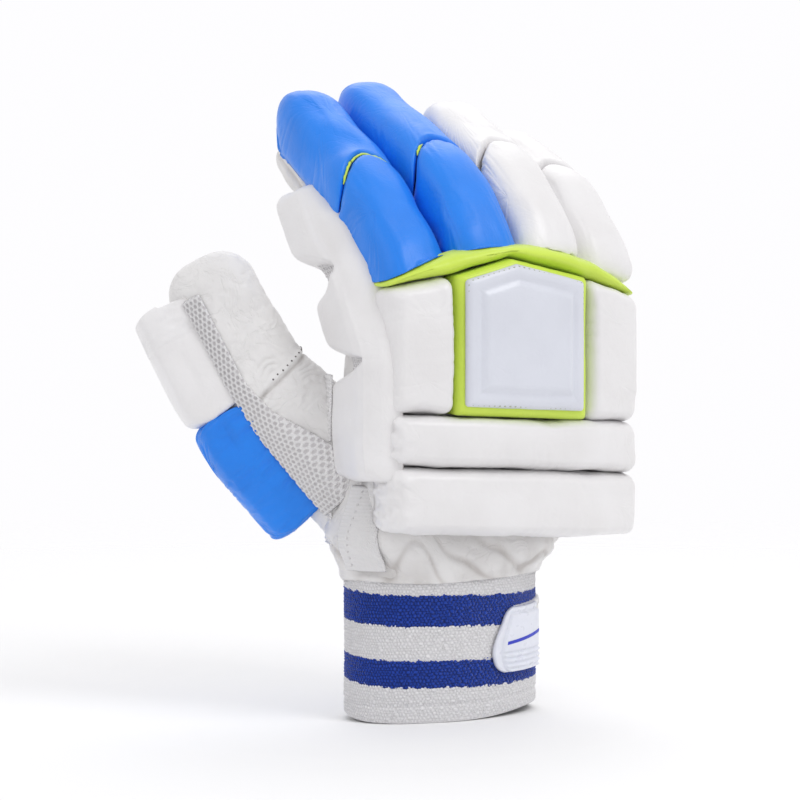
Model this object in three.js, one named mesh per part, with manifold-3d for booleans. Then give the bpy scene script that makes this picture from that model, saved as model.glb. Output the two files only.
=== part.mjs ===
// A padded batting glove for the right hand, standing on the rim of its towelling cuff.
// Millimetres, +Z up along the hand, the back of the hand towards -Y, the thumb side towards -X.
import * as THREE from 'three';
import { mergeVertices } from 'three/addons/utils/BufferGeometryUtils.js';
import Module from 'manifold-3d';

const wasm = await Module();
wasm.setup();

// Clearances and walls
const GAP = 0.4;                // between pieces that are sewn or pressed together
const LEATHER = 2;              // wall of the leather hand, stalls and thumb
const SHEET = 1.2;              // knit and mesh insets
const BACKING = 2.2;            // padded backing that carries the pads

// Towelling cuff
const CUFF_WIDTH = 91;
const CUFF_DEPTH = 52;
const CUFF_WALL = 3;
const CUFF_HEIGHT = 70;
const CUFF_OVERLAP = 10;        // how far the leather hem reaches down over the cuff
const CUFF_EDGE = 1.5;          // rounding of the cuff's outer rim

// Leather hand
const HAND_WIDTH = 116;
const HAND_BACK = 25;           // from the middle plane of the hand to its back
const HAND_PALM = 29;           // from the middle plane of the hand to its palm
const HAND_MIDDLE = 2;          // where the middle plane stands, behind the cuff's centre
const HAND_SHIFT = 13;          // the hand stands this far towards the little finger
const HAND_SQUARE = 2.5;        // power of the hand's rounded section
const HEM_FOLD = 0.9;           // height of the gathers at the hem

// Pads on the back of the hand
const PADS_WIDTH = 127;
const PADS_MIDDLE = 16;
const PADS_FRONT = 46;          // front of the pads, from the middle plane of the hand
const PADS_FALL = 10;           // the ends of the pads curve back this far
const PADS_SLOPE = 0.058;       // the pads run down towards the little finger
const WRIST_SHOWING = 18.5;     // leather between the hem and the lower bar
const LOWER_BAR = 27.4;
const UPPER_BAR = 21.6;
const BACK_PADS = 49.6;         // height of the back pads at the thumb side
const ROOF_RISE = 16.6;         // the pads' upper edge rises this far at the badge
const BAND_ENDS = 3.3;          // height of the green band at its ends
const BAND_RISE = 19.3;         // rise of the green band over the middle fingers
const BAND_INSET = 4;           // the band stands back from the pads by this
const PAD_ROUND = 7;            // rounding of a pad's edges
const SURROUND_LEFT = -16;      // upright edges of the badge pad
const SURROUND_RIGHT = 48.5;
const SURROUND_BORDER = 4;      // green border round the badge panel
const SURROUND_INSET = 1.2;     // the badge pad stands back from the white pads by this
const PANEL_THICK = 2.4;

// Fingers
const FINGER_SPACING = 31.4;
const FINGER_MIDDLE = 19;       // middle of the four fingers
const FINGER_WIDTH = 22.5;
const FINGER_THICK = 24;
const FINGER_ROOT = 27;         // thickness where the finger leaves the hand
const KNUCKLE = 23.2;           // straight part of the index stall below its first roll
const BASE_LENGTH = 30;         // length of the first roll at its sides
const END_LENGTH = 55;          // from there to the middle of the fingertip
const TIP_ROUND = 15;           // round end of a finger roll
const ROLL_WIDTH = 30.8;
const ROLL_HEIGHT = 31;         // top of a finger roll above the middle of its stall
const ROLL_CENTRE = 14;         // middle of a roll's round section above the middle of its stall
const CHEVRON = 16;             // the pointed seam between two rolls rises this far
const BASE_BEND = 42;           // degrees, first roll from upright towards the palm
const END_BEND = 56;            // degrees, second roll
const LEAN = 4.5;               // degrees, all fingers towards the thumb

// Thumb
const THUMB_ROOT = 56;          // from its root in the hand to its joint
const THUMB_END = 56;           // from the joint to the middle of its tip
const THUMB_WIDTH = 28;
const THUMB_BACK = 17;          // leather from the thumb's line to its pads
const THUMB_FRONT = 21.5;       // leather from the thumb's line to its inner side
const THUMB_TIP = 16;
const WEB = 30;                 // the web's edge from the thumb's line
const THUMB_ROLL = 18;          // thickness of the thumb's pads
const THUMB_ROLL_END = 51;      // length of the white pad
const THUMB_ROLL_BASE = 54;     // length of the blue pad
const THUMB_FOLD = 4.5;         // the two pads meet this far past the joint

// Side pads of the index finger
const SIDE_THICK = 8;
const SIDE_REACH = 40;          // the places and widths of the side pads are shares of this
const SIDE_RIDGE = 3.5;         // the folded edge stands out by this
const SIDE_ROUND = 6;           // rounding of the pads' edges

// Wrist strap
const STRAP_WIDTH = 29;
const STRAP_LEVEL = 36;
const STRAP_THICK = 1.8;
const STRAP_CLIMB = 3;          // the band rises by this from the tab to the palm's side
const STRAP_FROM = -72;         // degrees round the cuff
const STRAP_TO = 68;
const STRAP_TAB = 31;           // length of the plastic end
const TAB_MIDDLE = -58;         // degrees round the cuff
const TAB_THICK = 2;
const TAB_ROUND = 7;            // rounding of its free corners

const HEM = CUFF_HEIGHT - CUFF_OVERLAP;
const PADS_START = HEM + WRIST_SHOWING;
const UPPER_START = PADS_START + LOWER_BAR + GAP;
const BACK_START = UPPER_START + UPPER_BAR + GAP;
const BACK_END = BACK_START + BACK_PADS;
const HAND_TOP = BACK_END - 6.5;
const ROOT_LEVEL = HAND_TOP - 12;
const RADIAN = Math.PI / 180;

const COLOURS = {
  leather: [0xf1f0ee, 0.5],
  pad_white: [0xf5f4f2, 0.42],
  blue: [0x0a63d6, 0.42],
  lime: [0xb7ea1c, 0.45],
  silver: [0xe4e7f0, 0.35],
  towelling: [0xeceaea, 0.95],
  knit: [0xdcd7d8, 0.9],
  plastic: [0xe9ecf6, 0.25],
};

// Shares of the hand's height, width and depths; cuff is how far a section still has the cuff's shape
const HAND_SECTIONS = [
  { up: 0.0, cuff: 1.0, half: 1.0, back: 1.0, palm: 0.9 },
  { up: 0.045, cuff: 0.84, half: 1.0, back: 1.12, palm: 0.98 },
  { up: 0.107, cuff: 0.42, half: 1.01, back: 1.12, palm: 0.99 },
  { up: 0.18, cuff: 0.12, half: 1.01, back: 1.04, palm: 0.96 },
  { up: 0.3, cuff: 0.0, half: 1.0, back: 0.98, palm: 0.92 },
  { up: 0.54, cuff: 0.0, half: 0.98, back: 0.98, palm: 0.93 },
  { up: 0.7, cuff: 0.0, half: 0.98, back: 0.98, palm: 0.84 },
  { up: 0.84, cuff: 0.0, half: 0.98, back: 0.98, palm: 0.66 },
  { up: 0.93, cuff: 0.0, half: 0.96, back: 0.96, palm: 0.47 },
  { up: 0.98, cuff: 0.0, half: 0.9, back: 0.88, palm: 0.32 },
  { up: 0.997, cuff: 0.0, half: 0.8, back: 0.74, palm: 0.2 },
];

// Upper edge of the back pads, from the thumb side: share of half the pads' width, share of the rise
const ROOF = [
  { across: -1.0, rise: 0.0 },
  { across: -0.49, rise: 0.49 },
  { across: -0.09, rise: 1.0 },
  { across: 0.54, rise: 0.61 },
  { across: 1.0, rise: 0.21 },
];

// place counts the spacing from the middle, rise and end are shares of the roof's rise and the end length
const FINGERS = [
  { name: 'index', place: -1.5, rise: 0.0, end: 1.1, bend: 0.97, colour: 'blue' },
  { name: 'middle', place: -0.5, rise: 0.6, end: 1.11, bend: 1.08, colour: 'blue' },
  { name: 'ring', place: 0.5, rise: 0.65, end: 0.86, bend: 1.07, colour: 'pad_white' },
  { name: 'little', place: 1.5, rise: 0.16, end: 0.84, bend: 1.13, colour: 'pad_white' },
];

// Stall sections: share of the finger's length, then shares of its width and thickness
const STALL_SECTIONS = [
  { share: 0.0, wide: 1.0, thick: 1.0 },
  { share: 0.3, wide: 0.99, thick: 0.97 },
  { share: 0.62, wide: 0.96, thick: 0.94 },
  { share: 0.93, wide: 0.92, thick: 0.9 },
];

// Thumb sections: share along the thumb, shares of its width, back, and where its inner side stands
const THUMB_SECTIONS = [
  { along: -0.12, wide: 1.05, back: 0.9, web: 0.75 },
  { along: 0.12, wide: 1.05, back: 1.0, web: 0.95 },
  { along: 0.32, wide: 1.03, back: 1.0, web: 0.95 },
  { along: 0.46, wide: 1.0, back: 1.0, web: 0.62 },
  { along: 0.62, wide: 1.0, back: 1.0, web: 0.24 },
  { along: 0.8, wide: 0.98, back: 1.0, web: 0.05 },
  { along: 0.97, wide: 0.94, back: 1.0, web: 0.0 },
];

// The folded side pads, from the wrist up. low and high are shares of the hand's height over the hem. The rest
// are shares of a side pad's reach at its lower and upper end: where its ridge stands from the hand's middle
// plane, how far it reaches to the front and the rear of the ridge, and how far its rear edge lies inwards.
const SIDE_PADS = [
  {
    name: 'lower', low: 0.385, high: 0.825, ridge: [-0.7, -0.65], front: [0.175, 0.2], rear: [0.825, 0.85],
    flare: [0.075, 0.075], rest: 0.2,
  },
  {
    name: 'middle', low: 0.855, high: 1.15, ridge: [-0.55, -0.15], front: [0.275, 0.35], rear: [0.8, 0.7],
    flare: [0, -0.025], rest: 0.2,
  },
  {
    name: 'upper', low: 1.22, high: 1.47, ridge: [0.125, 0.625], front: [0.325, 0.325], rear: [0.55, 0.5],
    flare: [-0.1, -0.125], rest: 0,
  },
];

function smooth(value) {
  const t = Math.min(Math.max(value, 0), 1);
  return t * t * (3 - 2 * t);
}

function mix(a, b, t) {
  return a + (b - a) * t;
}

// Quarter round: 0 at an edge, 1 from one rounding radius inwards
function quarter(distance, radius) {
  const t = 1 - Math.min(Math.max(distance / radius, 0), 1);
  return Math.sqrt(1 - t * t);
}

// Evenly spaced shares that crowd towards both ends
function eased(count) {
  return Array.from({ length: count + 1 }, (_, i) => 0.5 - 0.5 * Math.cos((Math.PI * i) / count));
}

function geometryOf(points, faces) {
  const geometry = new THREE.BufferGeometry();
  const numbers = points.flatMap((p) => [p.x, p.y, p.z]);
  geometry.setAttribute('position', new THREE.Float32BufferAttribute(numbers, 3));
  geometry.setIndex(faces.flat());
  return geometry;
}

// A closed solid for cutting and joining, turned so that its faces point out
function solidOf(points, faces) {
  let volume = 0;
  for (const [a, b, c] of faces) {
    volume += points[a].dot(new THREE.Vector3().crossVectors(points[b], points[c]));
  }
  const turned = volume < 0 ? faces.map(([a, b, c]) => [a, c, b]) : faces;
  const merged = mergeVertices(geometryOf(points, turned), 1e-4);
  return new wasm.Manifold(new wasm.Mesh({
    numProp: 3,
    vertProperties: new Float32Array(merged.attributes.position.array),
    triVerts: new Uint32Array(merged.index.array),
  }));
}

// Solid through closed rings of equally many points, with a flat fan at each end
function skin(rings) {
  const count = rings[0].length;
  const points = rings.flat();
  const faces = [];
  for (let row = 0; row + 1 < rings.length; row += 1) {
    for (let i = 0; i < count; i += 1) {
      const a = row * count + i;
      const b = row * count + ((i + 1) % count);
      faces.push([a, b, b + count], [a, b + count, a + count]);
    }
  }
  for (const [row, flip] of [[0, true], [rings.length - 1, false]]) {
    const middle = new THREE.Vector3();
    rings[row].forEach((p) => middle.addScaledVector(p, 1 / count));
    points.push(middle);
    for (let i = 0; i < count; i += 1) {
      const a = row * count + i;
      const b = row * count + ((i + 1) % count);
      faces.push(flip ? [b, a, points.length - 1] : [a, b, points.length - 1]);
    }
  }
  return solidOf(points, faces);
}

// Closed pad between a lower and an upper sheet, both functions of two shares from 0 to 1
function pad(across, along, lower, upper) {
  const us = eased(across);
  const vs = eased(along);
  const points = [];
  for (const sheet of [lower, upper]) {
    for (const v of vs) {
      for (const u of us) points.push(sheet(u, v));
    }
  }
  const wide = us.length;
  const half = wide * vs.length;
  const faces = [];
  for (let j = 0; j < along; j += 1) {
    for (let i = 0; i < across; i += 1) {
      const a = j * wide + i;
      const c = half + a;
      faces.push([a, a + wide, a + 1], [a + 1, a + wide, a + wide + 1]);
      faces.push([c, c + 1, c + wide], [c + 1, c + wide + 1, c + wide]);
    }
  }
  const border = [];
  for (let i = 0; i < across; i += 1) border.push(i);
  for (let j = 0; j < along; j += 1) border.push(j * wide + across);
  for (let i = across; i > 0; i -= 1) border.push(along * wide + i);
  for (let j = along; j > 0; j -= 1) border.push(j * wide);
  border.forEach((a, i) => {
    const b = border[(i + 1) % border.length];
    faces.push([a, b, half + b], [a, half + b, half + a]);
  });
  return solidOf(points, faces);
}

// Box from corner to corner, for cutting
function block(low, high) {
  const box = new THREE.BoxGeometry(high[0] - low[0], high[1] - low[1], high[2] - low[2]);
  box.translate((low[0] + high[0]) / 2, (low[1] + high[1]) / 2, (low[2] + high[2]) / 2);
  box.deleteAttribute('normal');
  box.deleteAttribute('uv');
  const merged = mergeVertices(box);
  return new wasm.Manifold(new wasm.Mesh({
    numProp: 3,
    vertProperties: new Float32Array(merged.attributes.position.array),
    triVerts: new Uint32Array(merged.index.array),
  }));
}

function cut(solid, ...others) {
  return others.reduce((rest, other) => rest.subtract(other), solid);
}

function join(...solids) {
  return solids.reduce((whole, solid) => whole.add(solid));
}

// Closed oval ring at one level, with separate depths to the back and to the palm
function oval(x, y, z, half, back, palm, power, count) {
  return Array.from({ length: count }, (_, i) => {
    const angle = (2 * Math.PI * i) / count;
    const c = Math.cos(angle);
    const s = Math.sin(angle);
    const wide = Math.sign(c) * Math.abs(c) ** (2 / power);
    const deep = Math.sign(s) * Math.abs(s) ** (2 / power);
    return new THREE.Vector3(x + half * wide, y + (s < 0 ? back : palm) * deep, z);
  });
}

// Towelling cuff
function cuffOval(z, grow, count = 36) {
  return oval(0, 0, z, CUFF_WIDTH / 2 + grow, CUFF_DEPTH / 2 + grow, CUFF_DEPTH / 2 + grow, 2, count);
}

// Whole form of the cuff, for fitting what lies on it
function cuffForm(grow) {
  return skin([cuffOval(-1, grow), cuffOval(CUFF_HEIGHT + grow, grow)]);
}

function wristCuff() {
  const outer = skin([cuffOval(0, -CUFF_EDGE), cuffOval(CUFF_EDGE, 0), cuffOval(CUFF_HEIGHT / 2, 0),
    cuffOval(CUFF_HEIGHT, 0)]);
  const inner = skin([cuffOval(-1, -CUFF_WALL), cuffOval(CUFF_HEIGHT + 1, -CUFF_WALL)]);
  return cut(outer, inner);
}

// How far the hand's middle has moved from the cuff's middle, towards the little finger
function handShift(up, cuff) {
  return HAND_SHIFT * (smooth(up / 0.4) * (1 - cuff) + 0.3 * cuff * smooth(up * 9));
}

// Leather hand: sections from the hem to the finger roots
function handSolid(grow, reach = 0) {
  const height = HAND_TOP - HEM;
  const rings = HAND_SECTIONS.map((row, index) => {
    const cuffHalf = CUFF_WIDTH / 2 + GAP + LEATHER;
    const cuffDeep = CUFF_DEPTH / 2 + GAP + LEATHER;
    const half = mix((HAND_WIDTH / 2) * row.half, cuffHalf, row.cuff) + grow;
    const back = mix(HAND_BACK * row.back, cuffDeep, row.cuff) + grow;
    const palm = mix(HAND_PALM * row.palm, cuffDeep, row.cuff) + grow;
    const shift = handShift(row.up, row.cuff);
    const last = index === HAND_SECTIONS.length - 1;
    const level = HEM + height * row.up + (last ? grow : 0) - (index === 0 ? reach : 0);
    const power = mix(HAND_SQUARE, 2, row.cuff);
    const ring = oval(shift, HAND_MIDDLE * (1 - row.cuff), level, half, back, palm, power, 28);
    const gather = HEM_FOLD * smooth(row.up / 0.03) * smooth(1 - row.up / 0.26);
    ring.forEach((p, i) => p.addScaledVector(new THREE.Vector3(p.x - shift, p.y, 0).normalize(),
      gather * (1 + Math.sin(i * 1.2 + row.up * 30))));
    return ring;
  });
  return skin(rings);
}

// Surface that the back pads stand on: an arch across the hand
function backLine(x, lift) {
  const half = PADS_WIDTH / 2 + 3.5 + lift;
  const share = Math.min(Math.abs(x - PADS_MIDDLE) / half, 0.999);
  return HAND_MIDDLE - (HAND_BACK + lift) * (1 - share ** 2.6) ** (1 / 2.6);
}

function frontLine(x) {
  const share = (x - PADS_MIDDLE) / (PADS_WIDTH / 2);
  return HAND_MIDDLE - PADS_FRONT + PADS_FALL * Math.abs(share) ** 2.4;
}

function slope(x) {
  return -PADS_SLOPE * (x - PADS_MIDDLE);
}

function roofLine(x) {
  const share = Math.min(Math.max((x - PADS_MIDDLE) / (PADS_WIDTH / 2), -1), 1);
  const next = ROOF.findIndex((row, i) => i > 0 && share <= row.across);
  const t = (share - ROOF[next - 1].across) / (ROOF[next].across - ROOF[next - 1].across);
  return BACK_END + slope(x) + ROOF_RISE * mix(ROOF[next - 1].rise, ROOF[next].rise, t);
}

function bandLine(x) {
  const share = (x - PADS_MIDDLE) / (PADS_WIDTH / 2);
  return BACK_END + slope(x) + BAND_ENDS * (1 + 0.6 * share) + BAND_RISE * (1 - Math.abs(share) ** 2.3);
}

// Pad on the back between two upright and two level edges, given as functions
function backPad(left, right, low, high, options = {}) {
  const { across = 6, along = 5, edge = 0.35, round = PAD_ROUND, inset = 0 } = options;
  const place = (u, v) => {
    const x = mix(left, right, u);
    return { x, z: mix(low(x), high(x), v), wide: right - left, high: high(x) - low(x) };
  };
  const lower = (u, v) => {
    const { x, z } = place(u, v);
    return new THREE.Vector3(x, backLine(x, BACKING + 2 * GAP), z);
  };
  const upper = (u, v) => {
    const { x, z, wide, high: tall } = place(u, v);
    const rise = quarter(Math.min(u, 1 - u) * wide, Math.min(round, wide / 2))
      * quarter(Math.min(v, 1 - v) * tall, Math.min(round, tall / 2));
    const y = mix(backLine(x, BACKING + 2 * GAP), frontLine(x) + inset, edge + (1 - edge) * rise);
    return new THREE.Vector3(x, y, z);
  };
  return pad(across, along, lower, upper);
}

function backPanel() {
  const left = PADS_MIDDLE - PADS_WIDTH / 2 + 1;
  const right = PADS_MIDDLE + PADS_WIDTH / 2 - 1;
  const low = (x) => PADS_START + slope(x) + 1.5;
  const high = (x) => bandLine(x) - BAND_ENDS * 0.8;
  const at = (lift) => (u, v) => {
    const x = mix(left, right, u);
    return new THREE.Vector3(x, backLine(x, lift), mix(low(x), high(x), v));
  };
  return pad(9, 4, at(-6), at(BACKING + GAP));
}

// One plain form of all the back's pads, grown by the clearance, for fitting what lies beside them
function padsForm() {
  const at = (depth) => (u, v) => {
    const x = PADS_MIDDLE + (PADS_WIDTH / 2 + GAP) * (2 * u - 1);
    return new THREE.Vector3(x, depth(x), mix(PADS_START - GAP + slope(x), bandLine(x) + GAP, v));
  };
  return pad(16, 3, at((x) => backLine(x, -PAD_ROUND) + 4), at((x) => frontLine(x) - GAP));
}

// Silver panel set on the green pad, with its pointed upper edge
function badgePanel() {
  const left = SURROUND_LEFT + SURROUND_BORDER;
  const right = SURROUND_RIGHT - SURROUND_BORDER;
  const low = (x) => BACK_START + slope(x) + 1.2 * SURROUND_BORDER;
  const high = (x) => roofLine(x) - SURROUND_BORDER * 0.75;
  const front = (x) => frontLine(x) + SURROUND_INSET;
  const at = (x, v, lift) => new THREE.Vector3(x, front(x) - lift, mix(low(x), high(x), v));
  const lower = (u, v) => at(mix(left, right, u), v, GAP);
  const upper = (u, v) => {
    const rise = quarter(Math.min(u, 1 - u) * (right - left), 5) * quarter(Math.min(v, 1 - v) * BACK_PADS, 5);
    return at(mix(left, right, u), v, GAP + PANEL_THICK * (0.4 + 0.6 * rise));
  };
  return pad(8, 6, lower, upper);
}

// Line of a finger from its root upright in the hand, bending to the palm at the knuckle and the joint
function fingerLine(finger) {
  const x0 = FINGER_MIDDLE + finger.place * FINGER_SPACING;
  const y0 = backLine(x0, 0) + FINGER_ROOT / 2;
  const start = ROOT_LEVEL + KNUCKLE + ROOF_RISE * finger.rise;
  const heading = (s) => RADIAN * (BASE_BEND * smooth((s + 14) / 22)
    + (END_BEND * finger.bend - BASE_BEND) * smooth((s - BASE_LENGTH + 8) / 20));
  const step = 1;
  const stations = [];
  const point = new THREE.Vector3(x0, y0, start);
  const lean = (s) => RADIAN * LEAN * smooth((s + 14) / 22);
  const along = (s) => new THREE.Vector3(-Math.sin(lean(s)), Math.sin(heading(s)) * Math.cos(lean(s)),
    Math.cos(heading(s)) * Math.cos(lean(s)));
  const total = BASE_LENGTH + END_LENGTH * finger.end + 40;
  // integrate from the knuckle down to where the finger is upright, then up from there
  const first = -14;
  const base = point.clone();
  for (let s = 0; s > first; s -= step) base.addScaledVector(along(s - step / 2), -step);
  base.x = x0;
  base.y = y0;
  for (let s = first; s <= total; s += step) {
    stations.push(base.clone());
    base.addScaledVector(along(s + step / 2), step);
  }
  return (s) => {
    const place = Math.min(Math.max((s - first) / step, 0), stations.length - 2);
    const low = Math.floor(place);
    const c = stations[low].clone().lerp(stations[low + 1], place - low);
    if (s < first) c.z -= first - s;
    const a = heading(s);
    const l = lean(s);
    return {
      c,
      d: along(s),
      n: new THREE.Vector3(0, -Math.cos(a), Math.sin(a)),
      b: new THREE.Vector3(Math.cos(l), Math.sin(l) * Math.sin(a), Math.sin(l) * Math.cos(a)),
    };
  };
}

function fingerLength(finger) {
  return BASE_LENGTH + END_LENGTH * finger.end;
}

// Half width and half thickness of a stall at a place along it
function stallSize(finger, s) {
  const share = Math.min(Math.max(s / fingerLength(finger), 0), 0.93);
  const next = Math.max(STALL_SECTIONS.findIndex((row) => share <= row.share), 1);
  const a = STALL_SECTIONS[next - 1];
  const b = STALL_SECTIONS[next];
  const t = (share - a.share) / (b.share - a.share);
  const root = smooth(-s / 14);
  return {
    half: (FINGER_WIDTH / 2) * mix(a.wide, b.wide, t),
    deep: mix((FINGER_THICK / 2) * mix(a.thick, b.thick, t), FINGER_ROOT / 2, root),
  };
}

function stallRing(finger, line, s, grow, shrink = 1, count = 10) {
  const { c, n, b } = line(s);
  const { half, deep } = stallSize(finger, s);
  return Array.from({ length: count }, (_, i) => {
    const angle = (2 * Math.PI * (i + 0.5)) / count;
    return c.clone().addScaledVector(b, (half + grow) * shrink * Math.sin(angle))
      .addScaledVector(n, (deep + grow) * shrink * Math.cos(angle));
  });
}

function stallSolid(finger, grow) {
  const line = fingerLine(finger);
  const end = fingerLength(finger);
  const dome = FINGER_THICK * 0.42;
  const low = ROOT_LEVEL - line(-14).c.z - 14 - 4;
  const places = [low, -13, 0, 10, BASE_LENGTH - 6, BASE_LENGTH + 8, (BASE_LENGTH + 8 + end) / 2, end - 3];
  const rings = places.map((s) => stallRing(finger, line, s, grow));
  for (const turn of [45, 78]) {
    const s = end - 3 + (dome + grow) * Math.sin(turn * RADIAN);
    rings.push(stallRing(finger, line, s, grow, Math.cos(turn * RADIAN)));
  }
  return skin(rings);
}

// The pointed seam between a finger's two rolls, by the angle round the finger
function chevron(angle) {
  return BASE_LENGTH + CHEVRON * (1 - Math.min(Math.abs(angle) / 95, 1));
}

// Padded roll over the back of a finger between two places along it, each a function of the angle
function fingerRoll(finger, low, high, options) {
  const line = fingerLine(finger);
  const { across = 7, along = 6, dome = 0 } = options;
  const reach = 98;
  const place = (u, v) => {
    const angle = mix(-reach, reach, u);
    return { angle, s: mix(low(angle), high(angle), v), long: high(angle) - low(angle) };
  };
  const lower = (u, v) => {
    const { angle, s } = place(u, v);
    const { c, n, b } = line(s);
    const { half, deep } = stallSize(finger, s);
    const turn = angle * 0.8 * RADIAN;
    const seat = GAP + 0.2;
    return c.clone().addScaledVector(b, (half + seat) * Math.sin(turn))
      .addScaledVector(n, (deep + seat) * Math.cos(turn));
  };
  const upper = (u, v) => {
    const { angle, s, long } = place(u, v);
    const { c, n, b } = line(s);
    const turn = angle * RADIAN;
    const slim = mix(1, 0.97, smooth((s - BASE_LENGTH) / END_LENGTH));
    const top = c.clone().addScaledVector(b, (ROLL_WIDTH / 2) * slim * Math.sin(turn))
      .addScaledVector(n, ROLL_CENTRE * slim + (ROLL_HEIGHT - ROLL_CENTRE) * slim * Math.cos(turn));
    const round = quarter(v * long, 6) * quarter((1 - v) * long, dome || 6);
    return lower(u, v).lerp(top, 0.3 + 0.7 * round);
  };
  return pad(across, along, lower, upper);
}

// Whole outer form of a finger's rolls down to its stall, for fitting what lies beside them
function rollForm(finger, grow) {
  const line = fingerLine(finger);
  const end = fingerLength(finger);
  const rings = [-8, 2, 12, BASE_LENGTH - 6, BASE_LENGTH + 6, (BASE_LENGTH + end) / 2, end - 8].map((s) => {
    const { c, n, b } = line(s);
    return [-100, -80, -60, -36, -12, 12, 36, 60, 80, 100].map((angle) => c.clone()
      .addScaledVector(b, (ROLL_WIDTH / 2 + grow) * Math.sin(angle * RADIAN))
      .addScaledVector(n, ROLL_CENTRE + (ROLL_HEIGHT - ROLL_CENTRE + grow) * Math.cos(angle * RADIAN)))
      .concat([1, -1].map((side) => c.clone().addScaledVector(b, side * (FINGER_WIDTH / 2 + 2 * grow))));
  });
  return skin(rings);
}

function baseRoll(finger, seat) {
  const gap = GAP * 0.75;
  return cut(fingerRoll(finger, () => -6, (angle) => chevron(angle) - gap, { along: 5 }), seat);
}

function tipRoll(finger) {
  const gap = GAP * 0.75;
  const end = fingerLength(finger);
  const high = (angle) => end + TIP_ROUND - (TIP_ROUND + 4) * (1 - Math.cos(angle * 0.9 * RADIAN));
  return fingerRoll(finger, (angle) => chevron(angle) + gap, high, { along: 8, dome: TIP_ROUND });
}

// Line of the thumb: from its root in the hand out to its joint, then up to its tip
const THUMB_START = new THREE.Vector3(-HAND_WIDTH * 0.32, HAND_MIDDLE + 12, PADS_START + 12.5);
const THUMB_OUT = new THREE.Vector3(-0.53, 0.357, 0.768).normalize();
const THUMB_UP = new THREE.Vector3(-0.3675, 0.289, 0.883).normalize();
const THUMB_AWAY = new THREE.Vector3(-0.78, 0.45, -0.44).normalize();

function thumbLine(s) {
  const soft = 16;
  const blend = smooth((s - THUMB_ROOT + soft) / (2 * soft));
  const d = THUMB_OUT.clone().lerp(THUMB_UP, blend).normalize();
  const c = THUMB_START.clone().addScaledVector(THUMB_OUT, Math.min(s, THUMB_ROOT))
    .addScaledVector(THUMB_UP, Math.max(s - THUMB_ROOT, 0));
  const inside = soft * 0.1 * Math.max(0, 1 - Math.abs(s - THUMB_ROOT) / soft) ** 2;
  const n = THUMB_AWAY.clone().addScaledVector(d, -THUMB_AWAY.dot(d)).normalize();
  c.addScaledVector(n, -inside);
  return { c, d, n, b: new THREE.Vector3().crossVectors(d, n) };
}

function thumbSize(s) {
  const share = s / (THUMB_ROOT + THUMB_END);
  const found = THUMB_SECTIONS.findIndex((row) => share <= row.along);
  const next = found < 0 ? THUMB_SECTIONS.length - 1 : Math.max(found, 1);
  const a = THUMB_SECTIONS[next - 1];
  const b = THUMB_SECTIONS[next];
  const t = Math.min(Math.max((share - a.along) / (b.along - a.along), 0), 1);
  return {
    half: (THUMB_WIDTH / 2) * mix(a.wide, b.wide, t),
    back: THUMB_BACK * mix(a.back, b.back, t),
    front: mix(THUMB_FRONT, WEB, mix(a.web, b.web, t)),
  };
}

// Point on the thumb's leather; angle 0 faces the index finger's back, 90 the thumb's pads
function thumbPoint(s, angle, grow, shrink = 1) {
  const { c, n, b } = thumbLine(s);
  const { half, back, front } = thumbSize(s);
  const co = Math.cos(angle * RADIAN);
  const si = Math.sin(angle * RADIAN);
  const wide = Math.sign(co) * Math.abs(co) ** 0.85;
  const deep = Math.sign(si) * Math.abs(si) ** 0.85;
  return c.addScaledVector(b, (half + grow) * shrink * wide)
    .addScaledVector(n, ((si > 0 ? back : front) + grow) * shrink * deep);
}

function thumbSolid(grow) {
  const total = THUMB_ROOT + THUMB_END;
  const ring = (s, shrink) => Array.from({ length: 16 }, (_, i) => thumbPoint(s, 22.5 * i, grow, shrink));
  const rings = THUMB_SECTIONS.map((row) => ring(row.along * total, 1));
  const last = THUMB_SECTIONS[THUMB_SECTIONS.length - 1].along * total;
  for (const turn of [32, 58, 80]) {
    rings.push(ring(last + (THUMB_TIP + grow) * Math.sin(turn * RADIAN), Math.cos(turn * RADIAN)));
  }
  return skin(rings);
}

// Boxy pad on the back of the thumb
function thumbRoll(low, high, seat, slim) {
  const place = (u, v) => ({ angle: mix(158, 22, u), s: mix(low, high, v) });
  const lower = (u, v) => {
    const { angle, s } = place(u, v);
    return thumbPoint(s, angle, -1);
  };
  const upper = (u, v) => {
    const { s } = place(u, v);
    const { c, n, b } = thumbLine(s);
    const side = mix(-1, 1, u);
    const crown = 1 - 0.16 * side * side;
    const top = c.clone().addScaledVector(b, (THUMB_WIDTH / 2 + 0.8) * slim * side)
      .addScaledVector(n, (THUMB_BACK + THUMB_ROLL) * crown);
    const rise = quarter(Math.min(u, 1 - u) * THUMB_WIDTH, 7) * quarter(Math.min(v, 1 - v) * (high - low), 7);
    return lower(u, v).lerp(top, 0.3 + 0.7 * rise);
  };
  return cut(pad(6, 5, lower, upper), seat);
}

// Thin sheet laid on the thumb's leather between two angles that change along it
function thumbMeshForm(grow) {
  const total = THUMB_ROOT + THUMB_END;
  const at = (lift) => (u, v) => {
    const s = mix(0.02, 0.93, v) * total + grow * (2 * v - 1);
    const widest = mix(-48, 0, smooth(v * 1.5)) - 2 * grow;
    return thumbPoint(s, mix(24, widest, u), lift);
  };
  return pad(3, 8, at(-1), at(GAP + SHEET + grow));
}

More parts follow.
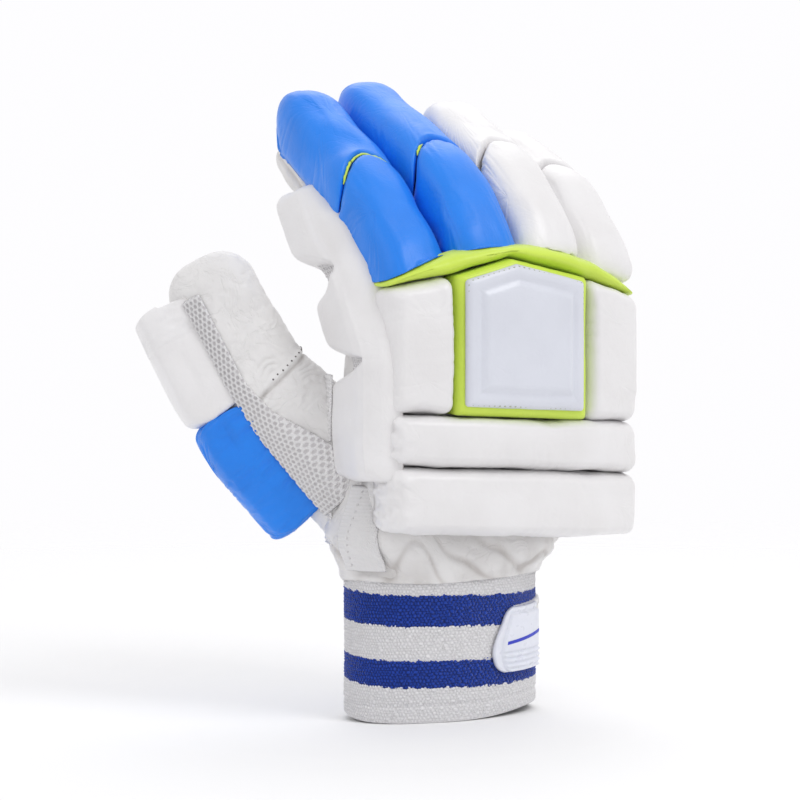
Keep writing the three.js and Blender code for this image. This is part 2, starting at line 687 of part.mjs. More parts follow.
// Folded side pad: two faces that meet in a ridge, between its two ends
function sidePad(row, others) {
  const height = HAND_TOP - HEM;
  const outer = HAND_SHIFT - HAND_WIDTH / 2 - SIDE_THICK;
  const levels = [HEM + height * row.low, HEM + height * row.high];
  const contour = (v) => {
    const at = (ends) => SIDE_REACH * mix(ends[0], ends[1], v);
    const ridge = at(row.ridge);
    return { ridge, front: ridge - at(row.front), rear: ridge + at(row.rear), flare: at(row.flare) };
  };
  const place = (u, v, depth) => {
    const { ridge, front, rear, flare } = contour(v);
    const y = u < 0.4 ? mix(front, ridge, u / 0.4) : mix(ridge, rear, (u - 0.4) / 0.6);
    const x = outer + (u < 0.4 ? mix(SIDE_RIDGE, 0, u / 0.4) : mix(0, flare, (u - 0.4) / 0.6));
    const z = mix(levels[0], levels[1], v) - 0.35 * (y - ridge) * smooth((levels[0] - HEM) / height - 0.7);
    return new THREE.Vector3(x + depth, HAND_MIDDLE + y, z);
  };
  const lower = (u, v) => place(u, v, SIDE_THICK + SIDE_REACH * mix(0.2, row.rest, smooth((u - 0.4) / 0.3)));
  const upper = (u, v) => {
    const { front, rear } = contour(v);
    const rise = quarter(Math.min(u, 1 - u) * (rear - front), SIDE_ROUND)
      * quarter(Math.min(v, 1 - v) * (levels[1] - levels[0]), SIDE_ROUND);
    return place(u, v, (1 - rise) * SIDE_THICK * 0.8);
  };
  return cut(pad(6, 4, lower, upper), ...others);
}

// Knit sheet laid on the leather at the wrist's thumb side
function handSheet(angles, levels, others) {
  const height = HAND_TOP - HEM;
  const at = (grow) => (u, v) => {
    const up = mix(levels[0], levels[1], v);
    const next = Math.max(HAND_SECTIONS.findIndex((row) => up <= row.up), 1);
    const a = HAND_SECTIONS[next - 1];
    const b = HAND_SECTIONS[next];
    const t = (up - a.up) / (b.up - a.up);
    const cuff = mix(a.cuff, b.cuff, t);
    const half = mix((HAND_WIDTH / 2) * mix(a.half, b.half, t), CUFF_WIDTH / 2 + GAP + LEATHER, cuff) + grow;
    const back = mix(HAND_BACK * mix(a.back, b.back, t), CUFF_DEPTH / 2 + GAP + LEATHER, cuff) + grow;
    const palm = mix(HAND_PALM * mix(a.palm, b.palm, t), CUFF_DEPTH / 2 + GAP + LEATHER, cuff) + grow;
    const shift = handShift(up, cuff);
    const power = 2 / mix(HAND_SQUARE, 2, cuff);
    const angle = mix(angles[0], angles[1], u) * RADIAN;
    const co = Math.cos(angle);
    const si = Math.sin(angle);
    const wide = Math.sign(co) * Math.abs(co) ** power;
    const deep = Math.sign(si) * Math.abs(si) ** power;
    return new THREE.Vector3(shift + half * wide, HAND_MIDDLE * (1 - cuff) + (si < 0 ? back : palm) * deep,
      HEM + height * up);
  };
  return cut(pad(5, 6, at(-2), at(GAP + SHEET)), ...others);
}

// Degrees that a length takes round the cuff, near one angle
function cuffTurn(length, angle) {
  const across = (CUFF_WIDTH / 2) * Math.sin(angle * RADIAN);
  const deep = (CUFF_DEPTH / 2) * Math.cos(angle * RADIAN);
  return length / Math.hypot(across, deep) / RADIAN;
}

// Strap: a band laid round the cuff's outer edge, its ends given as angles round the cuff
function strapPiece(angles, lift, thick, under, taper = 0) {
  const across = taper ? 6 : 14;
  const at = (grow) => (u, v) => {
    const angle = mix(angles[0], angles[1], u) * RADIAN;
    const half = STRAP_WIDTH / 2 * (1 - taper * (1 - quarter(u * STRAP_TAB, TAB_ROUND)));
    const rise = STRAP_CLIMB * smooth(u * (angles[1] - angles[0]) / 80);
    const x = (CUFF_WIDTH / 2 + grow) * Math.cos(angle);
    return new THREE.Vector3(x, (CUFF_DEPTH / 2 + grow) * Math.sin(angle),
      STRAP_LEVEL - STRAP_CLIMB + rise + mix(-half, half, v));
  };
  return cut(pad(across, taper ? 4 : 2, at(lift - 1), at(lift + thick)), under);
}

const group = new THREE.Group();
group.name = 'batting_glove';

function add(name, colour, solid) {
  const raw = solid.getMesh();
  const geometry = new THREE.BufferGeometry();
  geometry.setAttribute('position', new THREE.BufferAttribute(new Float32Array(raw.vertProperties), 3));
  geometry.setIndex(new THREE.BufferAttribute(new Uint32Array(raw.triVerts), 1));
  const [tint, roughness] = COLOURS[colour];
  const material = new THREE.MeshStandardMaterial({ color: tint, roughness, metalness: 0 });
  const mesh = new THREE.Mesh(geometry, material);
  mesh.name = name;
  group.add(mesh);
}

const FAR = 400;
const stalls = FINGERS.map((finger) => stallSolid(finger, 0));
const cores = FINGERS.map((finger) => stallSolid(finger, -LEATHER));
const thumbCore = thumbSolid(-LEATHER);
const hollow = join(handSolid(-LEATHER, 2), thumbCore, ...cores);
const hand = handSolid(0);
const grown = join(handSolid(GAP), thumbSolid(GAP), ...FINGERS.map((finger) => stallSolid(finger, GAP)));

const roots = block([-FAR, -FAR, HAND_TOP + GAP], [FAR, FAR, FAR]);
const below = block([-FAR, -FAR, -FAR], [FAR, FAR, HAND_TOP]);

add('wrist_cuff', 'towelling', wristCuff());
add('palm_shell', 'leather', cut(join(hand, ...stalls).intersect(below), hollow, cuffForm(GAP)));
FINGERS.forEach((finger, i) => {
  add(`${finger.name}_stall`, 'leather', cut(stalls[i], cores[i]).intersect(roots));
});
add('thumb_stall', 'leather', cut(thumbSolid(0), thumbCore, handSolid(GAP)));

add('back_panel', 'leather', cut(backPanel(), grown));

const barEnds = [PADS_MIDDLE - PADS_WIDTH / 2, PADS_MIDDLE + PADS_WIDTH / 2];
const level = (height) => (x) => height + slope(x);
const barShape = { across: 10, along: 5 };
const surroundShape = { across: 8, round: 4, edge: 0.6, inset: SURROUND_INSET };
const bandShape = { across: 16, along: 3, round: 5, edge: 0.6, inset: BAND_INSET };
const lowerBar = backPad(...barEnds, level(PADS_START), level(UPPER_START - GAP), barShape);
const upperBar = backPad(...barEnds, level(UPPER_START), level(BACK_START - GAP), barShape);
const [left, right] = barEnds;
const surround = backPad(SURROUND_LEFT, SURROUND_RIGHT, level(BACK_START), roofLine, surroundShape);
add('wrist_bar_lower', 'pad_white', lowerBar);
add('wrist_bar_upper', 'pad_white', upperBar);
add('back_pad_thumb_side', 'pad_white', backPad(left, SURROUND_LEFT - GAP, level(BACK_START), roofLine));
add('back_pad_outer', 'pad_white', backPad(SURROUND_RIGHT + GAP, right, level(BACK_START), roofLine));
add('badge_surround', 'lime', surround);
add('badge_panel', 'silver', badgePanel());
add('knuckle_band', 'lime', cut(backPad(left, right, (x) => roofLine(x) + GAP, bandLine, bandShape), grown));

const padsGrown = padsForm();
const rollSeat = join(padsGrown, handSolid(GAP));
const rolls = FINGERS.map((finger) => [baseRoll(finger, rollSeat), tipRoll(finger)]);
FINGERS.forEach((finger, i) => {
  add(`${finger.name}_base_roll`, finger.colour, rolls[i][0]);
  add(`${finger.name}_tip_roll`, finger.colour, rolls[i][1]);
});

const thumbFold = THUMB_ROOT + THUMB_FOLD;
const thumbRollEnd = thumbRoll(thumbFold + GAP / 2, thumbFold + THUMB_ROLL_END, grown, 1);
const thumbRollBase = thumbRoll(thumbFold - THUMB_ROLL_BASE, thumbFold - GAP / 2, grown, 0.96);
add('thumb_tip_roll', 'pad_white', thumbRollEnd);
add('thumb_base_roll', 'blue', thumbRollBase);
add('thumb_mesh', 'knit', cut(thumbMeshForm(0), grown));

const beside = [grown, padsGrown, rollForm(FINGERS[0], 2 * GAP), thumbMeshForm(GAP)];
const sidePads = SIDE_PADS.map((row) => sidePad(row, beside));
SIDE_PADS.forEach((row, i) => add(`index_side_pad_${row.name}`, 'pad_white', sidePads[i]));
add('side_knit_panel', 'knit', handSheet([-172, -140], [0.04, 0.36], [grown, padsGrown]));
add('web_knit_strip', 'knit', handSheet([152, 161], [0.3, 0.8], [grown, thumbMeshForm(GAP)]));

const tabTurn = cuffTurn(STRAP_TAB, TAB_MIDDLE) / 2;
const tabEnds = [TAB_MIDDLE - tabTurn, TAB_MIDDLE + tabTurn];
const tabSeat = cuffForm(2 * GAP + STRAP_THICK);
add('strap_band', 'towelling', strapPiece([STRAP_FROM, STRAP_TO], GAP, STRAP_THICK, cuffForm(GAP)));
add('strap_badge', 'plastic', strapPiece(tabEnds, 2 * GAP + STRAP_THICK, TAB_THICK, tabSeat, 0.5));

// The glove stands on its cuff, with the middle of its whole outline over the origin
const whole = new THREE.Box3().setFromObject(group);
group.position.set(-(whole.min.x + whole.max.x) / 2, -(whole.min.y + whole.max.y) / 2, -whole.min.z);
group.updateMatrixWorld(true);

export default group;
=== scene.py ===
"""Looks of a padded batting glove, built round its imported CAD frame.

The frame is in metres: +Z up along the hand, the back of the hand towards -Y, the thumb side towards -X.
Shapes are worked out in millimetres from the middle of the cuff's rim, and Skin.build() moves them in.
"""

import logging
import math
from dataclasses import dataclass, field
from enum import Enum
from typing import Callable, Optional, Sequence

import bmesh
import bpy
import numpy as np
from mathutils.kdtree import KDTree
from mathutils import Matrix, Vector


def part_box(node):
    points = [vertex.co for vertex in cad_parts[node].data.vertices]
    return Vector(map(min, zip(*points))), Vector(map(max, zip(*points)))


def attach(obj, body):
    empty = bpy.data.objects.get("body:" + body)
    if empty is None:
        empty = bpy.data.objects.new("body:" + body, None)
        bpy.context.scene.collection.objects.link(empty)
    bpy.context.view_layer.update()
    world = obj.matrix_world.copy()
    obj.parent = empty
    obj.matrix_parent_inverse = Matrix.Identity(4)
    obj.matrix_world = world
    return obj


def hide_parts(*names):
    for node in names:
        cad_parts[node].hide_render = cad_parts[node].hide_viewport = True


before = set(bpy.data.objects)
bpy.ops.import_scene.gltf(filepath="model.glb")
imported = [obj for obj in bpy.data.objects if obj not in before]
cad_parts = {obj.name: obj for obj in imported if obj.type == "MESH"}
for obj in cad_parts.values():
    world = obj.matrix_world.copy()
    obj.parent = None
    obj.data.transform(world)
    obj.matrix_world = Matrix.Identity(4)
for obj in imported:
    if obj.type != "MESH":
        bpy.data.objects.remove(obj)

LOG = logging.getLogger("batting_glove")
MM = 0.001
Array = np.ndarray
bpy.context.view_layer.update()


def find_shift() -> Array:
    """Returns: the cuff's middle in the frame, in millimetres; every shape is worked out from there."""
    low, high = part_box("wrist_cuff")
    return np.array([(low.x + high.x) / 2, (low.y + high.y) / 2, low.z]) / MM


SHIFT = find_shift()


# Small mathematics
def smooth(value: Array) -> Array:
    """Returns: 0 below 0, 1 above 1, and the cubic 3t^2 - 2t^3 between."""
    t = np.clip(value, 0.0, 1.0)
    return t * t * (3 - 2 * t)


def mix(a: Array, b: Array, t: Array) -> Array:
    """Returns: a at t = 0, b at t = 1, a straight line between."""
    return a + (b - a) * t


def bell(distance: Array, width: float) -> Array:
    """Returns: exp(-(distance / width)^2)."""
    return np.exp(-((distance / width) ** 2))


def unit(vectors: Array) -> Array:
    """Returns: the vectors divided by their lengths."""
    return vectors / np.maximum(np.linalg.norm(vectors, axis=-1, keepdims=True), 1e-9)


def power(value: Array, exponent: Array) -> Array:
    """Returns: the value's size to the exponent, with the value's sign."""
    return np.sign(value) * np.abs(value) ** exponent


def stack(*parts: Array) -> Array:
    """Returns: the parts side by side along a new last axis."""
    return np.stack(np.broadcast_arrays(*parts), -1)


def eased(x: Array, xs: Sequence[float], ys: Sequence[float], reach: float) -> Array:
    """Straight lines between points, with their corners rounded off by averaging.

    Args:
        x: where the curve is read.
        xs: places of the points, rising.
        ys: values at the points.
        reach: how far to each side the average goes.

    Returns: the curve's values, level beyond the ends.
    """
    return sum(np.interp(x + reach * step, xs, ys) for step in (-1, -0.5, 0, 0.5, 1)) / 5


def signed(angle: Array) -> Array:
    """Returns: the same angle in degrees, between -180 and 180."""
    return (angle + 180) % 360 - 180


def quarter(distance: Array, reach: float) -> Array:
    """Returns: height of a quarter circle: 0 at distance 0, level at 1 beyond the reach."""
    return np.sqrt(1 - (1 - np.clip(distance / reach, 0, 1)) ** 2)


class Ripple:
    """Soft seeded unevenness: the sum of sine waves in several directions, scaled to about -1 to 1."""

    def __init__(self, seed: int, size: float, waves: int = 9) -> None:
        """Args:
            seed: starts the random draws.
            size: mean wavelength, in the units of the points.
            waves: how many sines are summed.
        """
        draw = np.random.default_rng(seed)
        self.turns = unit(draw.normal(size=(waves, 3))) * 2 * np.pi / size
        self.turns *= draw.uniform(0.6, 1.5, (waves, 1))
        self.phases = draw.uniform(0, 2 * np.pi, waves)

    def __call__(self, points: Array) -> Array:
        """Returns: the sum of sin(direction . point + phase), over the root of half the count."""
        spread = points @ self.turns[:, :points.shape[-1]].T + self.phases
        return np.sin(spread).sum(-1) / math.sqrt(len(self.phases) / 2) / 1.6


# Meshes
class Skin:
    """Grids of points gathered into one mesh, with a map in millimetres and a seam mask for the materials,
    which paint shade where it is high.
    """

    def __init__(self, name: str) -> None:
        """Args:
            name: the piece's name.
        """
        self.name = name
        self.points: list[Array] = []
        self.maps: list[Array] = []
        self.masks: list[Array] = []
        self.faces: list[Array] = []
        self.count = 0

    def add(self, points: Array, chart: Optional[Array] = None, mask: Optional[Array] = None) -> None:
        """Adds a grid of quads.

        Args:
            points: rows by columns by 3, in millimetres.
            chart: rows by columns by 2, the map in millimetres; by default x and z.
            mask: rows by columns, 1 at seams and creases and 0 elsewhere; the materials paint shade where it
                is high.
        """
        rows, cols = points.shape[:2]
        chart = points[..., [0, 2]] if chart is None else chart
        mask = np.zeros((rows, cols)) if mask is None else mask
        index = np.arange(rows * cols).reshape(rows, cols) + self.count
        quads = stack(index[:-1, :-1], index[:-1, 1:], index[1:, 1:], index[1:, :-1]).reshape(-1, 4)
        self.points.append(points.reshape(-1, 3))
        self.maps.append(chart.reshape(-1, 2))
        self.masks.append(np.broadcast_to(mask, (rows, cols)).reshape(-1))
        self.faces.append(quads)
        self.count += rows * cols

    def build(self, material: bpy.types.Material, join: float = 0.004) -> bpy.types.Object:
        """Makes the object, joins doubled points and turns the faces outwards.

        Args:
            material: what the piece is made of.
            join: points nearer than this, in millimetres, become one.

        Returns: the object, at the origin.
        """
        points = (np.concatenate(self.points) + SHIFT) * MM
        faces = np.concatenate(self.faces)
        mesh = bpy.data.meshes.new(self.name)
        mesh.vertices.add(len(points))
        mesh.vertices.foreach_set("co", points.astype(np.float32).ravel())
        mesh.loops.add(faces.size)
        mesh.loops.foreach_set("vertex_index", faces.astype(np.int32).ravel())
        mesh.polygons.add(len(faces))
        mesh.polygons.foreach_set("loop_start", np.arange(0, faces.size, 4, dtype=np.int32))
        mesh.update(calc_edges=True)
        layer = mesh.uv_layers.new(name="UVMap")
        chart = np.concatenate(self.maps)[faces.ravel()] * MM
        layer.data.foreach_set("uv", chart.astype(np.float32).ravel())
        seam = mesh.attributes.new("seam", "FLOAT", "POINT")
        seam.data.foreach_set("value", np.concatenate(self.masks).astype(np.float32))
        shape = bmesh.new()
        shape.from_mesh(mesh)
        bmesh.ops.remove_doubles(shape, verts=shape.verts, dist=join * MM)
        bmesh.ops.recalc_face_normals(shape, faces=shape.faces)
        shape.to_mesh(mesh)
        shape.free()
        mesh.polygons.foreach_set("use_smooth", np.ones(len(mesh.polygons), bool))
        mesh.materials.append(material)
        mesh.update()
        piece = bpy.data.objects.new(self.name, mesh)
        bpy.context.scene.collection.objects.link(piece)
        return piece


def normals(points: Array, towards: Array) -> Array:
    """Returns: unit normals of a grid on the side of towards, which stands in where the grid is collapsed."""
    cross = np.cross(np.gradient(points, axis=1), np.gradient(points, axis=0))
    length = np.linalg.norm(cross, axis=-1, keepdims=True)
    side = np.where(np.sum(cross * towards, -1, keepdims=True) < 0, -1, 1)
    share = smooth(length / 0.02 - 0.5)
    return unit(mix(unit(towards), cross / np.maximum(length, 1e-9) * side, share))


def matched(outwards: Array) -> Array:
    """Returns: directions of a grid that closes on itself, made the same in its first and last column."""
    outwards[:, -1] = outwards[:, 0] = unit(outwards[:, 0] + outwards[:, -1])
    return outwards


@dataclass(frozen=True)
class Rim:
    """How a pad's border is shaped.

    Edge is the share of the height that stands upright at the seam, and crown the share that the middle rises
    over the border. The rest is in millimetres: how far the rounding reaches in from the sides and the ends,
    the radius of the corners, how far the seam is tucked in, and the spacing of the grid.
    """

    edge: float = 0.32
    side: float = 7.0
    ends: float = 7.0
    corner: float = 3.5
    tuck: float = 1.2
    crown: float = 0.04
    step: float = 0.8


class Cushion:
    """Grid of a stuffed pad: loops round its outline, from the seam up its wall and in to its middle.

    The outline is a rounded rectangle of wide by tall. Every point of it is drawn in a straight line towards
    the nearest place on the rectangle's middle line. The wall rises from a seam that is tucked in under it.
    Then the height follows a quarter ellipse, and the rest is nearly flat, with a slight crown.
    """

    def __init__(self, wide: float, tall: float, rim: Rim = Rim(), depth: float = 16.0) -> None:
        """Args:
            wide: length of the outline along its first direction.
            tall: length along its second direction.
            rim: how the border is shaped.
            depth: thickness of the pad, which sets how long the wall is.
        """
        self.wide, self.tall, self.rim = wide, tall, rim
        outline, side = self._outline()
        half = min(wide, tall) / 2
        middle = stack(np.clip(outline[:, 0], half, wide - half), np.clip(outline[:, 1], half, tall - half))
        reach = np.linalg.norm(middle - outline, axis=1)
        towards = unit(middle - outline)
        radius = np.minimum(mix(rim.side, rim.ends, side), half * 0.98) * reach / half
        wall = max(rim.edge * depth, 0.5)
        climb = np.linspace(0, 1, 9)[:-1, None]
        turn = np.linspace(0, np.pi / 2, 12)[:, None]
        flat = np.linspace(0, 1, max(int(half / 1.0), 6))[1:, None]
        inset = np.concatenate([
            rim.tuck * (1 - climb) ** 2 + 0 * reach,
            radius * (1 - np.cos(turn)),
            radius + (reach - radius) * flat,
        ])
        share = inset / np.maximum(reach, 1e-6)
        rise = np.concatenate([
            rim.edge * climb + 0 * reach,
            rim.edge + (1 - rim.edge) * np.sin(turn) + 0 * reach,
            1 + 0 * (reach * flat),
        ])
        self.height = rise * (1 + rim.crown * (1 - (1 - np.clip(share, 0, 1)) ** 2))
        self.path = np.concatenate([
            wall * climb + 0 * reach,
            wall + radius * turn,
            wall + radius * np.pi / 2 + (reach - radius) * flat,
        ])
        place = outline + towards * inset[..., None]
        self.x, self.y = place[..., 0], place[..., 1]
        steps = np.linalg.norm(np.diff(outline, axis=0), axis=1)
        self.round = np.broadcast_to(np.concatenate([[0], np.cumsum(steps)]), self.x.shape)
        self.seat = mix(place[0], middle, np.linspace(0, 1, 5)[:, None, None])

    def _outline(self) -> tuple[Array, Array]:
        """Returns: points round the rounded rectangle, the last one on the first, and 1 on its short ends."""
        w, t, r = self.wide, self.tall, min(self.rim.corner, self.wide / 2.2, self.tall / 2.2)
        across = np.linspace(r, w - r, max(int((w - 2 * r) / self.rim.step), 4) + 1)[:-1]
        along = np.linspace(r, t - r, max(int((t - 2 * r) / self.rim.step), 4) + 1)[:-1]
        arc = np.linspace(0, np.pi / 2, 7)[:-1]
        sides = [
            stack(across, 0 * across),
            stack(w - r + r * np.sin(arc), r - r * np.cos(arc)),
            stack(w + 0 * along, along),
            stack(w - r + r * np.cos(arc), t - r + r * np.sin(arc)),
            stack(w - across, t + 0 * across),
            stack(r - r * np.sin(arc), t - r + r * np.cos(arc)),
            stack(0 * along, t - along),
            stack(r - r * np.cos(arc), r - r * np.sin(arc)),
        ]
        outline = np.concatenate(sides + [sides[0][:1]])
        ends = np.abs(outline[:, 0] - w / 2) / (w / 2)
        flat = np.abs(outline[:, 1] - t / 2) / (t / 2)
        return outline, smooth((ends - flat) * 2 + 0.5)

    def skin(self, name: str, place: Callable[[Array, Array, Array], Array],
             relief: Optional[Callable[["Cushion", Array], Array]] = None) -> Skin:
        """Lays the grid out in space.

        Args:
            name: the piece's name.
            place: takes both shares of the outline and the height share, and returns points.
            relief: takes this cushion and the points, and returns how far each one moves outwards.

        Returns: the pad's closed skin.
        """
        points = place(self.x / self.wide, self.y / self.tall, self.height)
        inside = place(self.x / self.wide, self.y / self.tall, self.height - 0.2)
        outwards = matched(normals(points, points - inside))
        if relief is not None:
            move = relief(self, points)
            move[:, -1] = move[:, 0]
            points = points + outwards * (move * smooth(self.path / 1.5))[..., None]
        _, group = np.unique(np.round(stack(self.x, self.y)[-1], 3), axis=0, return_inverse=True)
        group = group.ravel()
        count = np.bincount(group)[:, None]
        points[-1] = (stack(*(np.bincount(group, points[-1, :, i]) for i in range(3))) / count)[group]
        # Mask near the seam, where the materials paint shade; the stuffing also holds the pad by it.
        seam = np.exp(-self.path / 3.0)
        skin = Skin(name)
        skin.add(points, stack(self.x, self.y), seam)
        bottom = place(self.seat[..., 0] / self.wide, self.seat[..., 1] / self.tall, 0 * self.seat[..., 0])
        bottom[0] = points[0]
        # The underside takes the full mask, so it is painted in the shade colour.
        skin.add(bottom, self.seat, 0 * self.seat[..., 0] + 1)
        return skin


def soft_relief(seed: int, lumps: float = 0.5, puckers: float = 0.5, pitch: float = 7.0,
                reach: float = 9.0) -> Callable[[Cushion, Array], Array]:
    """Unevenness of a stuffed leather pad.

    The lumps are a slow ripple over the pad. The puckers are creases at right angles to the seam: lines where
    a ripple, stretched along the way from the seam, passes zero, fading with distance from the seam.

    Args:
        seed: starts the random draws.
        lumps: depth of the slow ripple.
        puckers: depth of the creases.
        pitch: spacing of the creases along the seam.
        reach: how far the creases run in from the seam.

    Returns: a function for Cushion.skin().
    """
    slow = Ripple(seed, 34.0)
    fine = Ripple(seed + 1, pitch)
    long = Ripple(seed + 2, pitch * 4)

    def relief(cushion: Cushion, points: Array) -> Array:
        """Returns: the outward move of each point."""
        along = 2 * np.pi * cushion.round / cushion.round[0, -1]
        loop = cushion.round[0, -1] / (2 * np.pi)
        x, y = loop * np.cos(along), loop * np.sin(along)
        lines = fine(stack(x, y, cushion.path * 0.35))
        where = np.exp(-cushion.path / reach) * smooth(0.5 + 0.9 * long(stack(x, y)))
        return lumps * slow(points) - puckers * (bell(lines, 0.5) - 0.35) * where

    return relief


# Sizes that the parts share
@dataclass(frozen=True)
class Hand:
    """The glove's main sizes in millimetres, as in the CAD, and the surfaces that its parts stand on."""

    gap: float = 0.4
    leather: float = 2.0
    backing: float = 2.2
    cuff_width: float = 91.0
    cuff_depth: float = 52.0
    cuff_height: float = 70.0
    cuff_wall: float = 3.0
    hem: float = 60.0
    width: float = 116.0
    back: float = 25.0
    palm: float = 29.0
    middle: float = 2.0
    shift: float = 13.0
    square: float = 2.5
    top: float = 171.4
    pads_width: float = 127.0
    pads_middle: float = 16.0
    pads_front: float = 46.0
    pads_fall: float = 10.0
    pads_slope: float = 0.058
    pads_start: float = 78.5
    back_start: float = 128.3
    back_end: float = 177.9
    roof_rise: float = 16.6
    band_ends: float = 3.3
    band_rise: float = 19.3
    # Share of the height, share of the cuff's oval, half width, depth of the back, depth of the palm
    sections: tuple = (
        (0.0, 1.0, 1.0, 1.0, 0.9), (0.045, 0.84, 1.0, 1.12, 0.98), (0.107, 0.42, 1.01, 1.12, 0.99),
        (0.18, 0.12, 1.01, 1.04, 0.96), (0.3, 0.0, 1.0, 0.98, 0.92), (0.54, 0.0, 0.98, 0.98, 0.93),
        (0.7, 0.0, 0.98, 0.98, 0.84), (0.84, 0.0, 0.98, 0.98, 0.66), (0.93, 0.0, 0.96, 0.96, 0.47),
        (0.98, 0.0, 0.9, 0.88, 0.32), (0.997, 0.0, 0.8, 0.74, 0.2),
    )
    # Share of the half width from the pads' middle, share of the roof's rise
    roof: tuple = ((-1.0, 0.0), (-0.49, 0.49), (-0.09, 1.0), (0.54, 0.61), (1.0, 0.21))

    def back_line(self, x: Array, lift: Array = 0.0) -> Array:
        """Returns: y of the arch across the back of the hand that the pads stand on."""
        half = self.pads_width / 2 + 3.5 + lift
        share = np.minimum(np.abs(x - self.pads_middle) / half, 0.999)
        return self.middle - (self.back + lift) * (1 - share ** 2.6) ** (1 / 2.6)

    def front_line(self, x: Array) -> Array:
        """Returns: y of the pads' front, which falls back towards both ends."""
        share = (x - self.pads_middle) / (self.pads_width / 2)
        return self.middle - self.pads_front + self.pads_fall * np.abs(share) ** 2.4

    def slope(self, x: Array) -> Array:
        """Returns: how far the pads run down towards the little finger."""
        return -self.pads_slope * (x - self.pads_middle)

    def roof_line(self, x: Array) -> Array:
        """Returns: z of the back pads' upper edge, straight between the roof's corners."""
        share = np.clip((x - self.pads_middle) / (self.pads_width / 2), -1, 1)
        corners = np.array(self.roof)
        return self.back_end + self.slope(x) + self.roof_rise * np.interp(share, corners[:, 0], corners[:, 1])

    def band_line(self, x: Array) -> Array:
        """Returns: z of the knuckle band's upper edge."""
        share = (x - self.pads_middle) / (self.pads_width / 2)
        return (self.back_end + self.slope(x) + self.band_ends * (1 + 0.6 * share)
                + self.band_rise * (1 - np.minimum(np.abs(share), 1.05) ** 2.3))

    def surface(self, up: Array, angle: Array, grow: Array = 0.0) -> Array:
        """Leather of the hand: squared ovals whose sizes run smoothly between the table's sections.

        Args:
            up: share of the hand's height over the hem.
            angle: degrees round the hand, 0 at the little finger's side and 90 at the palm.
            grow: millimetres outwards.

        Returns: points.
        """
        rows = np.array(self.sections)
        cuff, half, back, palm = (eased(up, rows[:, 0], rows[:, i], 0.015) for i in range(1, 5))
        cuff_half = self.cuff_width / 2 + self.gap + self.leather
        cuff_deep = self.cuff_depth / 2 + self.gap + self.leather
        half = mix(self.width / 2 * half, cuff_half, cuff) + grow
        back = mix(self.back * back, cuff_deep, cuff) + grow
        palm = mix(self.palm * palm, cuff_deep, cuff) + grow
        shift = self.shift * (smooth(up / 0.4) * (1 - cuff) + 0.3 * cuff * smooth(up * 9))
        exponent = 2 / mix(self.square, 2.0, cuff)
        c, s = np.cos(np.radians(angle)), np.sin(np.radians(angle))
        return stack(shift + half * power(c, exponent),
                     self.middle * (1 - cuff) + np.where(s < 0, back, palm) * power(s, exponent),
                     self.hem + (self.top - self.hem) * up)


HAND = Hand()


class Tint(Enum):
    """Slots of the record that pieces take their finish from."""

    LEATHER = "leather"
    WHITE = "pad_white"
    BLUE = "blue"
    LIME = "lime"
    SILVER = "silver"
    TOWEL = "towelling"
    KNIT = "knit"
    CLEAR = "plastic"


